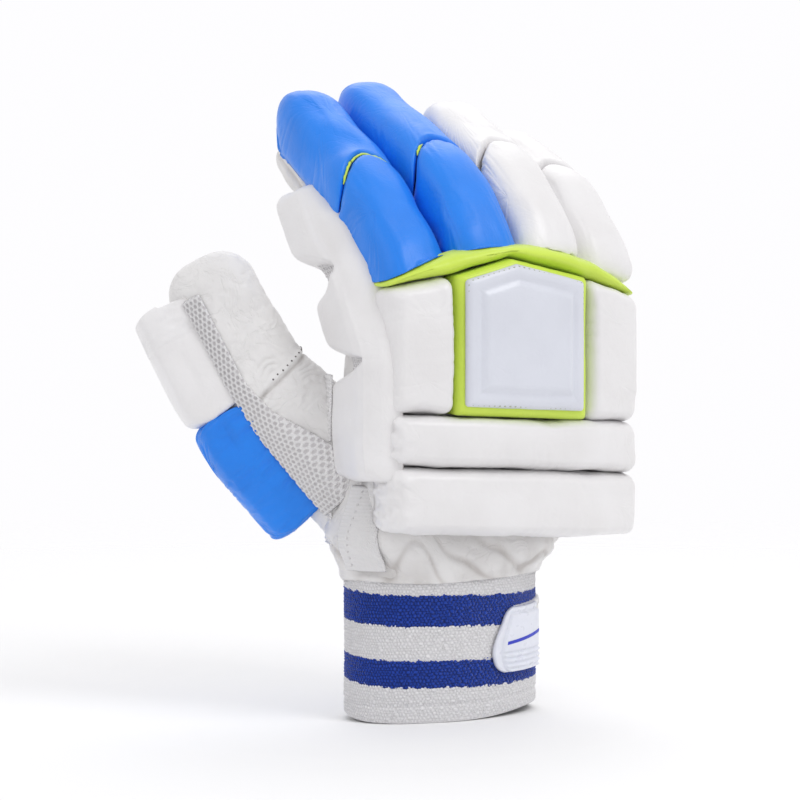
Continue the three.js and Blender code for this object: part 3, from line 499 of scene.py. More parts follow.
@dataclass(frozen=True)
class Digit:
    """One finger: an upright root that bends towards the palm at the knuckle and again at the joint."""

    name: str
    place: float
    rise: float
    end: float
    bend: float
    tint: Tint
    spacing: float = 31.4
    middle: float = 19.0
    width: float = 22.5
    thick: float = 24.0
    root: float = 27.0
    knuckle: float = 23.2
    base_length: float = 30.0
    end_length: float = 55.0
    tip_round: float = 15.0
    roll_width: float = 31.2
    roll_height: float = 31.0
    roll_centre: float = 14.0
    boxy: float = 0.66
    chevron: float = 16.0
    base_bend: float = 42.0
    end_bend: float = 56.0
    lean: float = 4.5
    first: float = -14.0
    bend_length: float = 22.0
    welts: tuple = ()

    @property
    def length(self) -> float:
        """Returns: from the first roll's start to the middle of the fingertip."""
        return self.base_length + self.end_length * self.end

    def heading(self, s: Array) -> Array:
        """Returns: radians between the finger and upright."""
        second = self.end_bend * self.bend - self.base_bend
        return np.radians(self.base_bend * smooth((s - self.first) / self.bend_length)
                          + second * smooth((s - self.base_length + 8) / 20))

    def leaning(self, s: Array) -> Array:
        """Returns: radians by which the finger leans towards the thumb."""
        return np.radians(self.lean) * smooth((s - self.first) / self.bend_length)

    def direction(self, s: Array) -> Array:
        """Returns: unit vector along the finger."""
        a, l = self.heading(s), self.leaning(s)
        return stack(-np.sin(l), np.sin(a) * np.cos(l), np.cos(a) * np.cos(l))

    def line(self, s: Array) -> tuple[Array, Array, Array]:
        """Middle line: the running sum of the direction, one millimetre at a time, from the upright root.

        Args:
            s: places along the finger in millimetres.

        Returns: centre, direction to the back of the finger, direction to the little finger's side.
        """
        x0 = self.middle + self.place * self.spacing
        start = HAND.top - 12 + self.knuckle + HAND.roof_rise * self.rise
        below = self.direction(-np.arange(0, -self.first) - 0.5).sum(0)
        base = np.array([x0, HAND.back_line(x0) + self.root / 2, start - below[2]])
        steps = self.direction(np.arange(self.first, self.length + 40) + 0.5)
        centres = base + np.concatenate([np.zeros((1, 3)), np.cumsum(steps, axis=0)])
        stations = self.first + np.arange(len(centres))
        centre = stack(*(np.interp(s, stations, centres[:, i]) for i in range(3)))
        centre[..., 2] -= np.maximum(self.first - s, 0)
        a, l = self.heading(s), self.leaning(s)
        return (centre, stack(0 * a, -np.cos(a), np.sin(a)),
                stack(np.cos(l), np.sin(l) * np.sin(a), np.sin(l) * np.cos(a)))

    def size(self, s: Array) -> tuple[Array, Array]:
        """Returns: half width and half thickness of the leather stall."""
        share = np.clip(s / self.length, 0, 0.93)
        wide = eased(share, [0, 0.3, 0.62, 0.93], [1, 0.99, 0.96, 0.92], 0.06)
        thick = eased(share, [0, 0.3, 0.62, 0.93], [1, 0.97, 0.94, 0.9], 0.06)
        return self.width / 2 * wide, mix(self.thick / 2 * thick, self.root / 2, smooth(-s / 14))

    def seam_line(self, angle: Array) -> Array:
        """Returns: place along the finger of the pointed seam between its rolls."""
        return self.base_length + self.chevron * (1 - np.minimum(np.abs(angle) / 95, 1) ** 0.85)

    def roll(self, s: Array, angle: Array, height: Array) -> Array:
        """Roll over the back of the finger: straight lines from the stall to a round top.

        Args:
            s: places along the finger.
            angle: degrees round its back, 0 in the middle.
            height: 0 on the stall, 1 on the roll's top.

        Returns: points.
        """
        centre, back, side = self.line(s)
        half, deep = self.size(s)
        turn = np.radians(angle * 0.8)
        seat = HAND.gap + 0.2
        low = (centre + side * ((half + seat) * np.sin(turn))[..., None]
               + back * ((deep + seat) * np.cos(turn))[..., None])
        turn = np.radians(angle)
        slim = mix(1, 0.97, smooth((s - self.base_length) / self.end_length))
        wide = self.roll_width / 2 * slim * power(np.sin(turn), self.boxy)
        dome = (self.roll_height - self.roll_centre) * slim * power(np.cos(turn), self.boxy)
        high = centre + side * wide[..., None] + back * (self.roll_centre * slim + dome)[..., None]
        return mix(low, high, height[..., None])


DIGITS = (
    Digit("index", -1.5, 0.0, 1.1, 0.97, Tint.BLUE, welts=((-62.0, 60.0),)),
    Digit("middle", -0.5, 0.6, 1.19, 1.08, Tint.BLUE, base_length=25.0, welts=((-42.0, -16.0), (50.0, 66.0))),
    Digit("ring", 0.5, 0.65, 0.86, 1.07, Tint.WHITE, base_length=24.0),
    Digit("little", 1.5, 0.16, 0.84, 1.13, Tint.WHITE, base_length=22.0),
)


@dataclass(frozen=True)
class Thumb:
    """The thumb's line, bent outwards from the hand and then upwards, and its leather round it."""

    root: float = 56.0
    end: float = 56.0
    width: float = 28.0
    back: float = 17.0
    front: float = 21.5
    web: float = 30.0
    roll: float = 18.0
    soft: float = 16.0
    # Share of the length, half width, depth to the pads, share of the web in the depth to the hand
    sections: tuple = (
        (-0.12, 1.05, 0.9, 0.75), (0.12, 1.05, 1.0, 0.95), (0.32, 1.03, 1.0, 0.95), (0.46, 1.0, 1.0, 0.62),
        (0.62, 1.0, 1.0, 0.24), (0.8, 0.98, 1.0, 0.05), (0.97, 0.94, 1.0, 0.0),
    )

    @property
    def total(self) -> float:
        """Returns: length of the thumb's line."""
        return self.root + self.end

    def line(self, s: Array) -> tuple[Array, Array, Array]:
        """Returns: centre, direction to the thumb's pads, direction across it."""
        start = np.array([-0.32 * HAND.width, HAND.middle + 12, HAND.pads_start + 12.5])
        out = unit(np.array([-0.53, 0.357, 0.768]))
        up = unit(np.array([-0.3675, 0.289, 0.883]))
        away = unit(np.array([-0.78, 0.45, -0.44]))
        blend = smooth((s - self.root + self.soft) / (2 * self.soft))[..., None]
        along = unit(mix(out, up, blend))
        centre = (start + out * np.minimum(s, self.root)[..., None]
                  + up * np.maximum(s - self.root, 0)[..., None])
        inside = self.soft * 0.1 * np.maximum(0, 1 - np.abs(s - self.root) / self.soft) ** 2
        back = unit(away - along * np.sum(along * away, -1, keepdims=True))
        return centre - back * inside[..., None], back, np.cross(along, back)

    def size(self, s: Array) -> tuple[Array, Array, Array]:
        """Returns: half width, and depths to the pads and to the inner side."""
        rows = np.array(self.sections)
        wide, back, web = (eased(s / self.total, rows[:, 0], rows[:, i], 0.05) for i in range(1, 4))
        return self.width / 2 * wide, self.back * back, mix(self.front, self.web, web)

    def surface(self, s: Array, angle: Array, grow: Array = 0.0, shrink: Array = 1.0) -> Array:
        """Returns: points on the thumb's leather; angle 0 faces the index finger's back, 90 the pads."""
        centre, back, across = self.line(s)
        half, rear, front = self.size(s)
        c, n = np.cos(np.radians(angle)), np.sin(np.radians(angle))
        wide = (half + grow) * shrink * power(c, 0.85)
        deep = (np.where(n > 0, rear, front) + grow) * shrink * power(n, 0.85)
        return centre + across * wide[..., None] + back * deep[..., None]

    def pad(self, s: Array, share: Array, height: Array, slim: float) -> Array:
        """Returns: points of a boxy pad, straight from the leather up to a slightly crowned top."""
        low = self.surface(s, mix(158.0, 22.0, share), -1.0)
        centre, back, across = self.line(s)
        side = 2 * share - 1
        high = (centre + across * ((self.width / 2 + 0.8) * slim * side)[..., None]
                + back * ((self.back + self.roll) * (1 - 0.16 * side ** 2))[..., None])
        return mix(low, high, height[..., None])


THUMB = Thumb()


# Materials
class NodeSheet:
    """Short calls for placing and joining shader nodes."""

    def __init__(self, tree: bpy.types.NodeTree) -> None:
        """Args:
            tree: the tree that the nodes go into.
        """
        self.tree = tree

    def add(self, kind: str, values: Optional[dict] = None, **settings: object) -> bpy.types.Node:
        """Places a node.

        Args:
            kind: its type, without the word ShaderNode.
            values: input name or number to a value, or to a socket that is linked.
            settings: properties of the node itself.

        Returns: the node.
        """
        node = self.tree.nodes.new("ShaderNode" + kind)
        for name, value in settings.items():
            setattr(node, name, value)
        for key, value in (values or {}).items():
            if isinstance(value, bpy.types.NodeSocket):
                self.tree.links.new(value, node.inputs[key])
            else:
                node.inputs[key].default_value = value
        return node

    def math(self, operation: str, a: object, b: object = 0.0) -> bpy.types.NodeSocket:
        """Returns: the result of one Math node."""
        return self.add("Math", {0: a, 1: b}, operation=operation).outputs[0]

    def blend(self, share: object, a: object, b: object) -> bpy.types.NodeSocket:
        """Returns: colour a at share 0 and b at share 1."""
        node = self.add("Mix", data_type="RGBA")
        for key, value in ((0, share), (6, a), (7, b)):
            if isinstance(value, bpy.types.NodeSocket):
                self.tree.links.new(value, node.inputs[key])
            else:
                node.inputs[key].default_value = value
        return node.outputs[2]

    def spread(self, value: object, low: float, high: float, to_low: float = 0.0,
               to_high: float = 1.0) -> bpy.types.NodeSocket:
        """Returns: value taken from one range to another, held at the ends."""
        return self.add("MapRange", {0: value, 1: low, 2: high, 3: to_low, 4: to_high}).outputs[0]


def new_group(name: str, inputs: Sequence[tuple], outputs: Sequence[tuple]) -> tuple:
    """Starts a node group.

    Args:
        name: the group's name.
        inputs: name, socket type and starting value of each input.
        outputs: name and socket type of each output.

    Returns: the group, its node sheet, its input node and its output node.
    """
    tree = bpy.data.node_groups.new(name, "ShaderNodeTree")
    for label, kind, value in inputs:
        socket = tree.interface.new_socket(label, in_out="INPUT", socket_type=kind)
        if value is not None:
            socket.default_value = value
    for label, kind in outputs:
        tree.interface.new_socket(label, in_out="OUTPUT", socket_type=kind)
    return tree, NodeSheet(tree), tree.nodes.new("NodeGroupInput"), tree.nodes.new("NodeGroupOutput")


def grain_group() -> bpy.types.NodeTree:
    """Returns: leather grain, small rounded cells over a finer ripple, as a height."""
    tree, sheet, source, sink = new_group(
        "leather_grain",
        [("Place", "NodeSocketVector", None), ("Cells per metre", "NodeSocketFloat", 900.0),
         ("Crumple", "NodeSocketFloat", 0.3)],
        [("Height", "NodeSocketFloat")])
    place = source.outputs["Place"]
    cells = sheet.add("TexVoronoi", {"Vector": place, "Scale": source.outputs[1]}, feature="SMOOTH_F1")
    fine = sheet.add("TexNoise", {"Vector": place, "Scale": 2600.0, "Detail": 3.0})
    wide = sheet.add("TexNoise", {"Vector": place, "Scale": 160.0, "Detail": 2.0})
    height = sheet.math("ADD", sheet.math("MULTIPLY", cells.outputs["Distance"], -0.55),
                        sheet.math("MULTIPLY", fine.outputs["Fac"], 0.3))
    folds = sheet.add("TexNoise", {"Vector": place, "Scale": 75.0, "Detail": 5.0, "Distortion": 1.2})
    ridges = sheet.math("ABSOLUTE", sheet.math("SUBTRACT", folds.outputs["Fac"], 0.5))
    lines = sheet.spread(ridges, 0.0, 0.06, -1.6, 0.0)
    height = sheet.math("ADD", height, sheet.math("MULTIPLY", wide.outputs["Fac"], 1.1))
    height = sheet.math("ADD", height, sheet.math("MULTIPLY", lines, source.outputs["Crumple"]))
    tree.links.new(height, sink.inputs[0])
    return tree


def tone_and_crease_shade_group() -> bpy.types.NodeTree:
    """Returns: colour with painted shade in creases and beside seams, over a slow random variation of tone,
    and its mask.
    """
    tree, sheet, source, sink = new_group(
        "tone_and_crease_shade",
        [("Place", "NodeSocketVector", None), ("Colour", "NodeSocketColor", None),
         ("Shade", "NodeSocketColor", None), ("Seam", "NodeSocketFloat", 0.0)],
        [("Colour", "NodeSocketColor"), ("Mask", "NodeSocketFloat")])
    slow = sheet.add("TexNoise", {"Vector": source.outputs["Place"], "Scale": 38.0, "Detail": 4.0})
    uneven = sheet.spread(slow.outputs["Fac"], 0.35, 0.7, 0.0, 0.16)
    # Painted shade: where the seam mask is high (seams, creases, hollows) the colour is darkened towards
    # Shade.
    seam = sheet.math("MULTIPLY", sheet.math("POWER", source.outputs["Seam"], 1.6), 0.75)
    mask = sheet.math("MINIMUM", sheet.math("ADD", uneven, seam), 1.0)
    shaded = sheet.blend(mask, source.outputs["Colour"], source.outputs["Shade"])
    tree.links.new(shaded, sink.inputs["Colour"])
    tree.links.new(mask, sink.inputs["Mask"])
    return tree


Colour = tuple[float, float, float]


def new_material(name: str) -> tuple:
    """Returns: a new material with its node sheet, its links and its main shader."""
    made = bpy.data.materials.new(name)
    made.use_nodes = True
    tree = made.node_tree
    return made, NodeSheet(tree), tree.links, tree.nodes["Principled BSDF"]


def set_inputs(shader: bpy.types.Node, **values: object) -> None:
    """Sets constant inputs of a shader or a group.

    Args:
        shader: the node.
        values: input names with underscores for spaces.
    """
    for name, value in values.items():
        shader.inputs[name.replace("_", " ")].default_value = value


def scaled(colour: Colour, share: float) -> tuple:
    """Returns: the colour times the share, with an alpha of 1."""
    return (*(share * channel for channel in colour), 1)


@dataclass(frozen=True)
class Leather:
    """Soft coated leather: fine grain, a satin face, and a duller face with painted shade in its creases and
    beside its seams.
    """

    name: str
    colour: Colour
    shade: Colour
    roughness: float = 0.42
    grain: float = 0.00012
    cells: float = 950.0
    coat: float = 0.12
    crumple: float = 0.35

    def material(self, groups: dict[str, bpy.types.NodeTree]) -> bpy.types.Material:
        """Returns: the material, with the shared groups given by name."""
        made, sheet, links, shader = new_material(self.name)
        place = sheet.add("TexCoord").outputs["Object"]
        seam = sheet.add("Attribute", attribute_name="seam").outputs["Fac"]
        tone_and_shade = sheet.add("Group", node_tree=groups["tone_and_crease_shade"])
        grain = sheet.add("Group", node_tree=groups["leather_grain"])
        links.new(place, tone_and_shade.inputs["Place"])
        links.new(seam, tone_and_shade.inputs["Seam"])
        links.new(place, grain.inputs["Place"])
        # shade is the colour of the painted shade in creases and beside seams; the slow variation of tone is
        # the leather's own.
        set_inputs(tone_and_shade, Colour=scaled(self.colour, 1.0), Shade=scaled(self.shade, 1.0))
        set_inputs(grain, Cells_per_metre=self.cells, Crumple=self.crumple)
        bump = sheet.add("Bump", {"Strength": 0.55, "Distance": self.grain, "Height": grain.outputs[0]})
        links.new(tone_and_shade.outputs["Colour"], shader.inputs["Base Color"])
        links.new(sheet.spread(tone_and_shade.outputs["Mask"], 0.0, 0.6, self.roughness - 0.05, self.roughness + 0.16),
                  shader.inputs["Roughness"])
        links.new(bump.outputs[0], shader.inputs["Normal"])
        set_inputs(shader, Specular_IOR_Level=0.45, Coat_Weight=self.coat, Coat_Roughness=0.35,
                   Sheen_Weight=0.06)
        return made


@dataclass(frozen=True)
class Towelling:
    """Looped towelling with two stripes across its map; their edges step from loop to loop. Shade is painted
    between the loops, and on the blue a highlight on them.
    """

    name: str
    colour: Colour
    stripe: Colour
    stripes: tuple = ((15.6, 27.0), (41.4, 54.6))
    soft: float = 0.12

    def material(self, groups: dict[str, bpy.types.NodeTree]) -> bpy.types.Material:
        """Returns: the material; it needs none of the shared groups."""
        made, sheet, links, shader = new_material(self.name)
        chart = sheet.add("UVMap", uv_map="UVMap").outputs[0]
        split = sheet.add("SeparateXYZ", {0: chart})
        between = sheet.add("Attribute", attribute_name="seam").outputs["Fac"]
        steps = sheet.math("MULTIPLY", between, 0.0009)
        loose = sheet.add("TexNoise", {"Vector": chart, "Scale": 420.0, "Detail": 3.0})
        wander = sheet.spread(loose.outputs["Fac"], 0.3, 0.7, -0.0006, 0.0006)
        level = sheet.math("ADD", sheet.math("ADD", split.outputs["Y"], steps), wander)
        mask = 0.0
        soft = self.soft * MM
        for low, high in self.stripes:
            inside = sheet.math("MULTIPLY", sheet.spread(level, low * MM - soft, low * MM + soft),
                                sheet.spread(level, high * MM - soft, high * MM + soft, 1.0, 0.0))
            mask = sheet.math("MAXIMUM", mask, inside)
        # Painted shade: darker where the loops' bump is low and, from the mask, between the loops.
        loops = sheet.add("TexNoise", {"Vector": chart, "Scale": 1500.0, "Detail": 4.0, "Roughness": 0.7})
        loop_shade = sheet.math("ADD", sheet.spread(loops.outputs["Fac"], 0.3, 0.62, 0.25, 0.0),
                          sheet.spread(between, 0.3, 1.0, -0.1, 0.8))
        # Painted shade on both colours, and on the blue a painted highlight where the loops stand up.
        white = sheet.blend(loop_shade, scaled(self.colour, 1.0), scaled(self.colour, 0.78))
        blue = sheet.blend(loop_shade, scaled(self.stripe, 1.25), scaled(self.stripe, 0.2))
        links.new(sheet.blend(mask, white, blue), shader.inputs["Base Color"])
        pile = sheet.add("TexVoronoi", {"Vector": chart, "Scale": 1100.0})
        height = sheet.math("ADD", sheet.math("MULTIPLY", loops.outputs["Fac"], 1.2),
                            sheet.math("MULTIPLY", pile.outputs["Distance"], -0.8))
        bump = sheet.add("Bump", {"Strength": 0.8, "Distance": 0.0005, "Height": height})
        links.new(bump.outputs[0], shader.inputs["Normal"])
        set_inputs(shader, Roughness=0.95, Specular_IOR_Level=0.15, Sheen_Weight=0.35, Sheen_Roughness=0.5)
        return made


@dataclass(frozen=True)
class Knit:
    """Thin knitted cloth: fine loops in rows on the piece's map, with painted shade in the low parts of the
    loops and where the mask marks holes.
    """

    name: str
    colour: Colour
    hole: Colour
    loop: float = 0.9

    def material(self, groups: dict[str, bpy.types.NodeTree]) -> bpy.types.Material:
        """Returns: the material; it needs none of the shared groups."""
        made, sheet, links, shader = new_material(self.name)
        chart = sheet.add("UVMap", uv_map="UVMap").outputs[0]
        split = sheet.add("SeparateXYZ", {0: chart})
        pitch = 2 * math.pi / (self.loop * MM)
        rows = sheet.math("SINE", sheet.math("MULTIPLY", split.outputs["X"], pitch))
        ranks = sheet.math("SINE", sheet.math("MULTIPLY", split.outputs["Y"], pitch * 0.8))
        weave = sheet.math("MULTIPLY", rows, ranks)
        seam = sheet.add("Attribute", attribute_name="seam").outputs["Fac"]
        # Painted shade: the yarn is darker where the weave's bump is low.
        yarn = sheet.blend(sheet.spread(weave, -0.9, 0.9, 0.2, 0.0), scaled(self.colour, 1.0),
                           scaled(self.colour, 0.7))
        # Painted shade: where the mask marks holes and grooves, the colour goes to the darker hole colour.
        holed = sheet.blend(sheet.spread(seam, 0.25, 0.8), yarn, scaled(self.hole, 1.0))
        links.new(holed, shader.inputs["Base Color"])
        bump = sheet.add("Bump", {"Strength": 0.6, "Distance": 0.0003, "Height": weave})
        links.new(bump.outputs[0], shader.inputs["Normal"])
        set_inputs(shader, Roughness=0.85, Specular_IOR_Level=0.2, Sheen_Weight=0.2)
        return made


@dataclass(frozen=True)
class Moulded:
    """Soft moulded plastic with a faint cast texture."""

    name: str
    colour: Colour
    roughness: float = 0.3

    def material(self, groups: dict[str, bpy.types.NodeTree]) -> bpy.types.Material:
        """Returns: the material; it needs none of the shared groups."""
        made, sheet, links, shader = new_material(self.name)
        place = sheet.add("TexCoord").outputs["Object"]
        cloud = sheet.add("TexNoise", {"Vector": place, "Scale": 240.0, "Detail": 3.0})
        share = sheet.spread(cloud.outputs["Fac"], 0.35, 0.7, 0.0, 0.25)
        links.new(sheet.blend(share, scaled(self.colour, 1.0), scaled(self.colour, 0.86)),
                  shader.inputs["Base Color"])
        links.new(sheet.spread(cloud.outputs["Fac"], 0.3, 0.7, self.roughness - 0.06, self.roughness + 0.1),
                  shader.inputs["Roughness"])
        bump = sheet.add("Bump", {"Strength": 0.3, "Distance": 0.0001, "Height": cloud.outputs["Fac"]})
        links.new(bump.outputs[0], shader.inputs["Normal"])
        set_inputs(shader, Subsurface_Weight=0.15, Subsurface_Radius=(0.002, 0.002, 0.0025),
                   Subsurface_Scale=1.0)
        return made


# The second colour of each leather is its painted shade for creases and seams; the knit's second colour is
# painted shade in its holes and grooves.
FINISHES = {
    Tint.LEATHER: Leather("hand_leather", (0.80, 0.79, 0.785), (0.50, 0.47, 0.45), roughness=0.5,
                          grain=0.00022, cells=800.0, coat=0.04, crumple=1.0),
    Tint.WHITE: Leather("pad_leather_white", (0.83, 0.82, 0.825), (0.55, 0.52, 0.50), 0.4),
    Tint.BLUE: Leather("pad_leather_blue", (0.003, 0.225, 0.88), (0.002, 0.07, 0.36), 0.42),
    Tint.LIME: Leather("pad_leather_lime", (0.64, 0.82, 0.09), (0.34, 0.50, 0.03), 0.42),
    Tint.SILVER: Leather("panel_leather", (0.72, 0.74, 0.81), (0.45, 0.46, 0.52), roughness=0.34,
                         grain=0.0001, cells=1200.0, coat=0.25),
    Tint.TOWEL: Towelling("cuff_towelling", (0.88, 0.87, 0.885), (0.012, 0.05, 0.36)),
    Tint.KNIT: Knit("knit_inset", (0.90, 0.89, 0.895), (0.70, 0.68, 0.69)),
    Tint.CLEAR: Moulded("strap_plastic", (0.78, 0.80, 0.88)),
}


class Palette:
    """The glove's materials, each made once."""

    def __init__(self) -> None:
        """Makes the node groups and then every finish."""
        groups = {"leather_grain": grain_group(), "tone_and_crease_shade": tone_and_crease_shade_group()}
        self.made = {tint: finish.material(groups) for tint, finish in FINISHES.items()}
        self.thread = Moulded("thread_white", (0.82, 0.81, 0.80), 0.6).material(groups)
        self.grey_thread = Moulded("thread_grey", (0.42, 0.46, 0.36), 0.6).material(groups)
        self.ink = Moulded("stripe_blue", (0.02, 0.04, 0.55), 0.35).material(groups)
        # Near-black material for the painted shade inside punched holes.
        self.hole = Moulded("punched_hole_shade", (0.10, 0.09, 0.085), 0.8).material(groups)

    def __getitem__(self, tint: Tint) -> bpy.types.Material:
        """Returns: the material of a slot."""
        return self.made[tint]


@dataclass
class Workshop:
    """Puts finished pieces on the frame and reports them; every assembly's build() is given it."""

    palette: Palette
    pieces: list[str] = field(default_factory=list)
    pads: list = field(default_factory=list)

    def fit(self, skin: Skin, tint: Tint, nodes: Sequence[str] = (), fill: Optional[float] = None,
            material: Optional[bpy.types.Material] = None) -> bpy.types.Object:
        """Args:
            skin: its grids.
            tint: the slot that it takes its finish from.
            nodes: CAD nodes that it stands for.
            fill: given for a pad, which puts it on the list to be stuffed; its value is not used.
            material: another material than the slot's own.

        Returns: the object.
        """
        piece = skin.build(material or self.palette[tint])
        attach(piece, "root")
        if nodes:
            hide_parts(*nodes)
        if fill is not None:
            self.pads.append(piece)
        self.pieces.append(skin.name)
        LOG.info("%s: %d faces", skin.name, len(piece.data.polygons))
        return piece


# Simulation
@dataclass
class Stuffing:
    """Blows the pads up as cloth bags that are held at their seams.

    A coarse copy of each pad is simulated under pressure. The way that its points travel is then given to the
    pad's own fine grid, less and less towards the seam, and is kept under a limit. The voxel size and the
    limit are in millimetres, and the mass is that of each coarse point in kilograms.
    """

    voxel: float = 3.6
    quality: int = 5
    pressure: float = 4.0
    mass: float = 0.004
    stiffness: float = 20.0
    bending: float = 0.05
    stretch: float = 0.04
    held_over: float = 0.55
    slack: float = 0.25
    neighbours: int = 14
    limit: float = 0.45
    seam_fade: float = 0.8
    last_frame: int = 18
    bags: list = field(default_factory=list)

    def prepare(self, piece: bpy.types.Object) -> None:
        """Makes the coarse copy of a pad, pins its seam and gives it a cloth modifier.

        Args:
            piece: a finished pad.
        """
        fine, seam = self.read(piece)
        coarse = piece.copy()
        coarse.data = piece.data.copy()
        bpy.context.scene.collection.objects.link(coarse)
        remesh = coarse.modifiers.new("remesh", "REMESH")
        remesh.mode = "VOXEL"
        remesh.voxel_size = self.voxel * MM
        bpy.context.view_layer.update()
        mesh = bpy.data.meshes.new_from_object(coarse.evaluated_get(bpy.context.evaluated_depsgraph_get()))
        coarse.modifiers.clear()
        coarse.data = mesh
        rest = self.read(coarse)[0]
        held = coarse.vertex_groups.new(name="held")
        tree = self.tree(fine)
        for index, point in enumerate(rest):
            weight = float(seam[tree.find(point)[1]])
            held.add([index], 1.0 if weight > self.held_over else self.slack * weight, "REPLACE")
        cloth = coarse.modifiers.new("stuffing", "CLOTH")
        settings = cloth.settings
        settings.quality = self.quality
        settings.mass = self.mass
        settings.use_pressure = True
        settings.uniform_pressure_force = self.pressure
        settings.effector_weights.gravity = 0.0
        settings.vertex_group_mass = "held"
        settings.shrink_min = -self.stretch
        settings.tension_stiffness = settings.compression_stiffness = self.stiffness
        settings.bending_stiffness = self.bending
        self.bags.append((piece, coarse, rest))

    @staticmethod
    def tree(points: Array) -> KDTree:
        """Returns: a search tree of the points."""
        tree = KDTree(len(points))
        for index, point in enumerate(points):
            tree.insert(point, index)
        tree.balance()
        return tree

    @staticmethod
    def read(piece: bpy.types.Object) -> tuple[Array, Optional[Array]]:
        """Returns: an object's points and, if it has one, its seam mask."""
        mesh = piece.data
        points = np.empty(len(mesh.vertices) * 3, np.float32)
        mesh.vertices.foreach_get("co", points)
        layer = mesh.attributes.get("seam")
        mask = None
        if layer is not None:
            mask = np.empty(len(mesh.vertices), np.float32)
            layer.data.foreach_get("value", mask)
        return points.reshape(-1, 3), mask

    def run(self) -> None:
        """Simulates every prepared bag at once and moves the fine pads with them."""
        for frame_number in range(1, self.last_frame + 1):
            bpy.context.scene.frame_set(frame_number)
        graph = bpy.context.evaluated_depsgraph_get()
        for piece, coarse, rest in self.bags:
            moved = np.array([vertex.co for vertex in coarse.evaluated_get(graph).data.vertices])
            travel = moved - rest
            tree = self.tree(rest)
            fine, seam = self.read(piece)
            move = np.zeros_like(fine)
            for index, point in enumerate(fine):
                near = tree.find_n(point, self.neighbours)
                weights = np.array([1 / (found[2] + self.voxel * MM) ** 2 for found in near])
                move[index] = weights @ travel[[found[1] for found in near]] / weights.sum()
            size = np.linalg.norm(move, axis=1, keepdims=True)
            limit = self.limit * MM
            move = move / np.maximum(size, 1e-9) * limit * np.tanh(size / limit)
            move *= smooth((1 - seam) / self.seam_fade)[:, None]
            piece.data.vertices.foreach_set("co", (fine + move).astype(np.float32).ravel())
            piece.data.update()
            LOG.info("%s stuffed: %.2f mm at most, %.2f mm on average", piece.name,
                     np.linalg.norm(move, axis=1).max() / MM, np.linalg.norm(move, axis=1).mean() / MM)
            bpy.data.objects.remove(coarse)
        bpy.context.scene.frame_set(1)


# Trim
def tube(name: str, path: Array, radius: Array, sides: int = 8) -> Skin:
    """Cord along a path: rings square to the path, closed at both ends.

    Args:
        name: the piece's name.
        path: points in millimetres.
        radius: one value, or one for each point.
        sides: points in a ring.

    Returns: the skin.
    """
    along = unit(np.gradient(path, axis=0))
    helper = np.where(np.abs(along[:, :1]) < 0.8, [[1.0, 0, 0]], [[0, 0, 1.0]])
    side = unit(np.cross(along, helper))
    up = np.cross(side, along)
    turn = np.linspace(0, 2 * np.pi, sides + 1)[None, :, None]
    radius = np.broadcast_to(radius, len(path))[:, None, None]
    rings = path[:, None] + radius * (np.cos(turn) * side[:, None] + np.sin(turn) * up[:, None])
    first = np.repeat(path[:1, None], sides + 1, 1)
    last = np.repeat(path[-1:, None], sides + 1, 1)
    skin = Skin(name)
    grid = np.concatenate([first, rings, last])
    length = np.concatenate([[0], np.cumsum(np.linalg.norm(np.diff(path, axis=0), axis=1))])
    length = np.concatenate([length[:1], length, length[-1:]])
    skin.add(grid, stack(length[:, None], turn[0, None, :, 0] * radius.mean()))
    return skin


def stitches(name: str, paths: Sequence[tuple[Array, Array]], length: float = 2.3, gap: float = 1.3,
             width: float = 0.75, lift: float = 0.28) -> Skin:
    """Rows of sewn stitches: short arched threads, one after another along each path.

    Args:
        name: the piece's name.
        paths: points of each row and the outward directions there.
        length: of one stitch.
        gap: between two stitches.
        width: of the thread.
        lift: how high a stitch arches over the surface.

    Returns: the skin.
    """
    skin = Skin(name)
    for path, outwards in paths:
        steps = np.concatenate([[0], np.cumsum(np.linalg.norm(np.diff(path, axis=0), axis=1))])
        starts = np.arange(gap, steps[-1] - length, length + gap)
        if len(starts) == 0:
            continue
        t = np.linspace(0, 1, 5)
        places = starts[:, None] + length * t
        read = lambda values, at: stack(*(np.interp(at, steps, values[:, i]) for i in range(3)))
        middle = read(path, places)
        out = unit(read(outwards, places))
        along = unit(np.gradient(middle, axis=1))
        side = np.cross(along, out)
        arch = lift * np.sin(np.pi * t) ** 0.6 - 0.15
        middle = middle + out * arch[None, :, None]
        turn = np.linspace(0, 2 * np.pi, 7)
        thick = width / 2 * np.array([0.05, 0.9, 1.0, 0.9, 0.05])
        rings = (middle[:, :, None] + thick[None, :, None, None]
                 * (np.cos(turn)[:, None] * side[:, :, None] + 0.8 * np.sin(turn)[:, None] * out[:, :, None]))
        for ring in rings:
            skin.add(ring)
    return skin


def slab(name: str, surface: Callable[[Array, Array, Array], Array], wide: float, tall: float, base: float,
         thick: float, relief: Optional[Callable[[Array, Array], tuple]] = None, step: float = 0.8,
         edge: float = 1.5) -> Skin:
    """Thin sheet on a surface, rounded down to nothing along its border.

    Args:
        name: the piece's name.
        surface: takes two shares and a lift in millimetres, and returns points.
        wide: size in the first direction.
        tall: size in the second direction.
        base: lift of the underside.
        thick: thickness of the sheet.
        relief: takes both places in millimetres, and returns an added lift and a mask.
        step: spacing of the grid.
        edge: width of the rounded border.

    Returns: the closed skin.
    """
    u, v = np.meshgrid(np.linspace(0, 1, int(wide / step) + 2), np.linspace(0, 1, int(tall / step) + 2))
    distance = np.minimum(np.minimum(u, 1 - u) * wide, np.minimum(v, 1 - v) * tall)
    rise = quarter(distance, edge)
    lift, mask = relief(u * wide, v * tall) if relief else (0 * u, 0 * u)
    skin = Skin(name)
    chart = stack(u * wide, v * tall)
    skin.add(surface(u, v, base + (thick + lift) * rise), chart, mask)
    skin.add(surface(u, v, base + 0 * u), chart)
    return skin


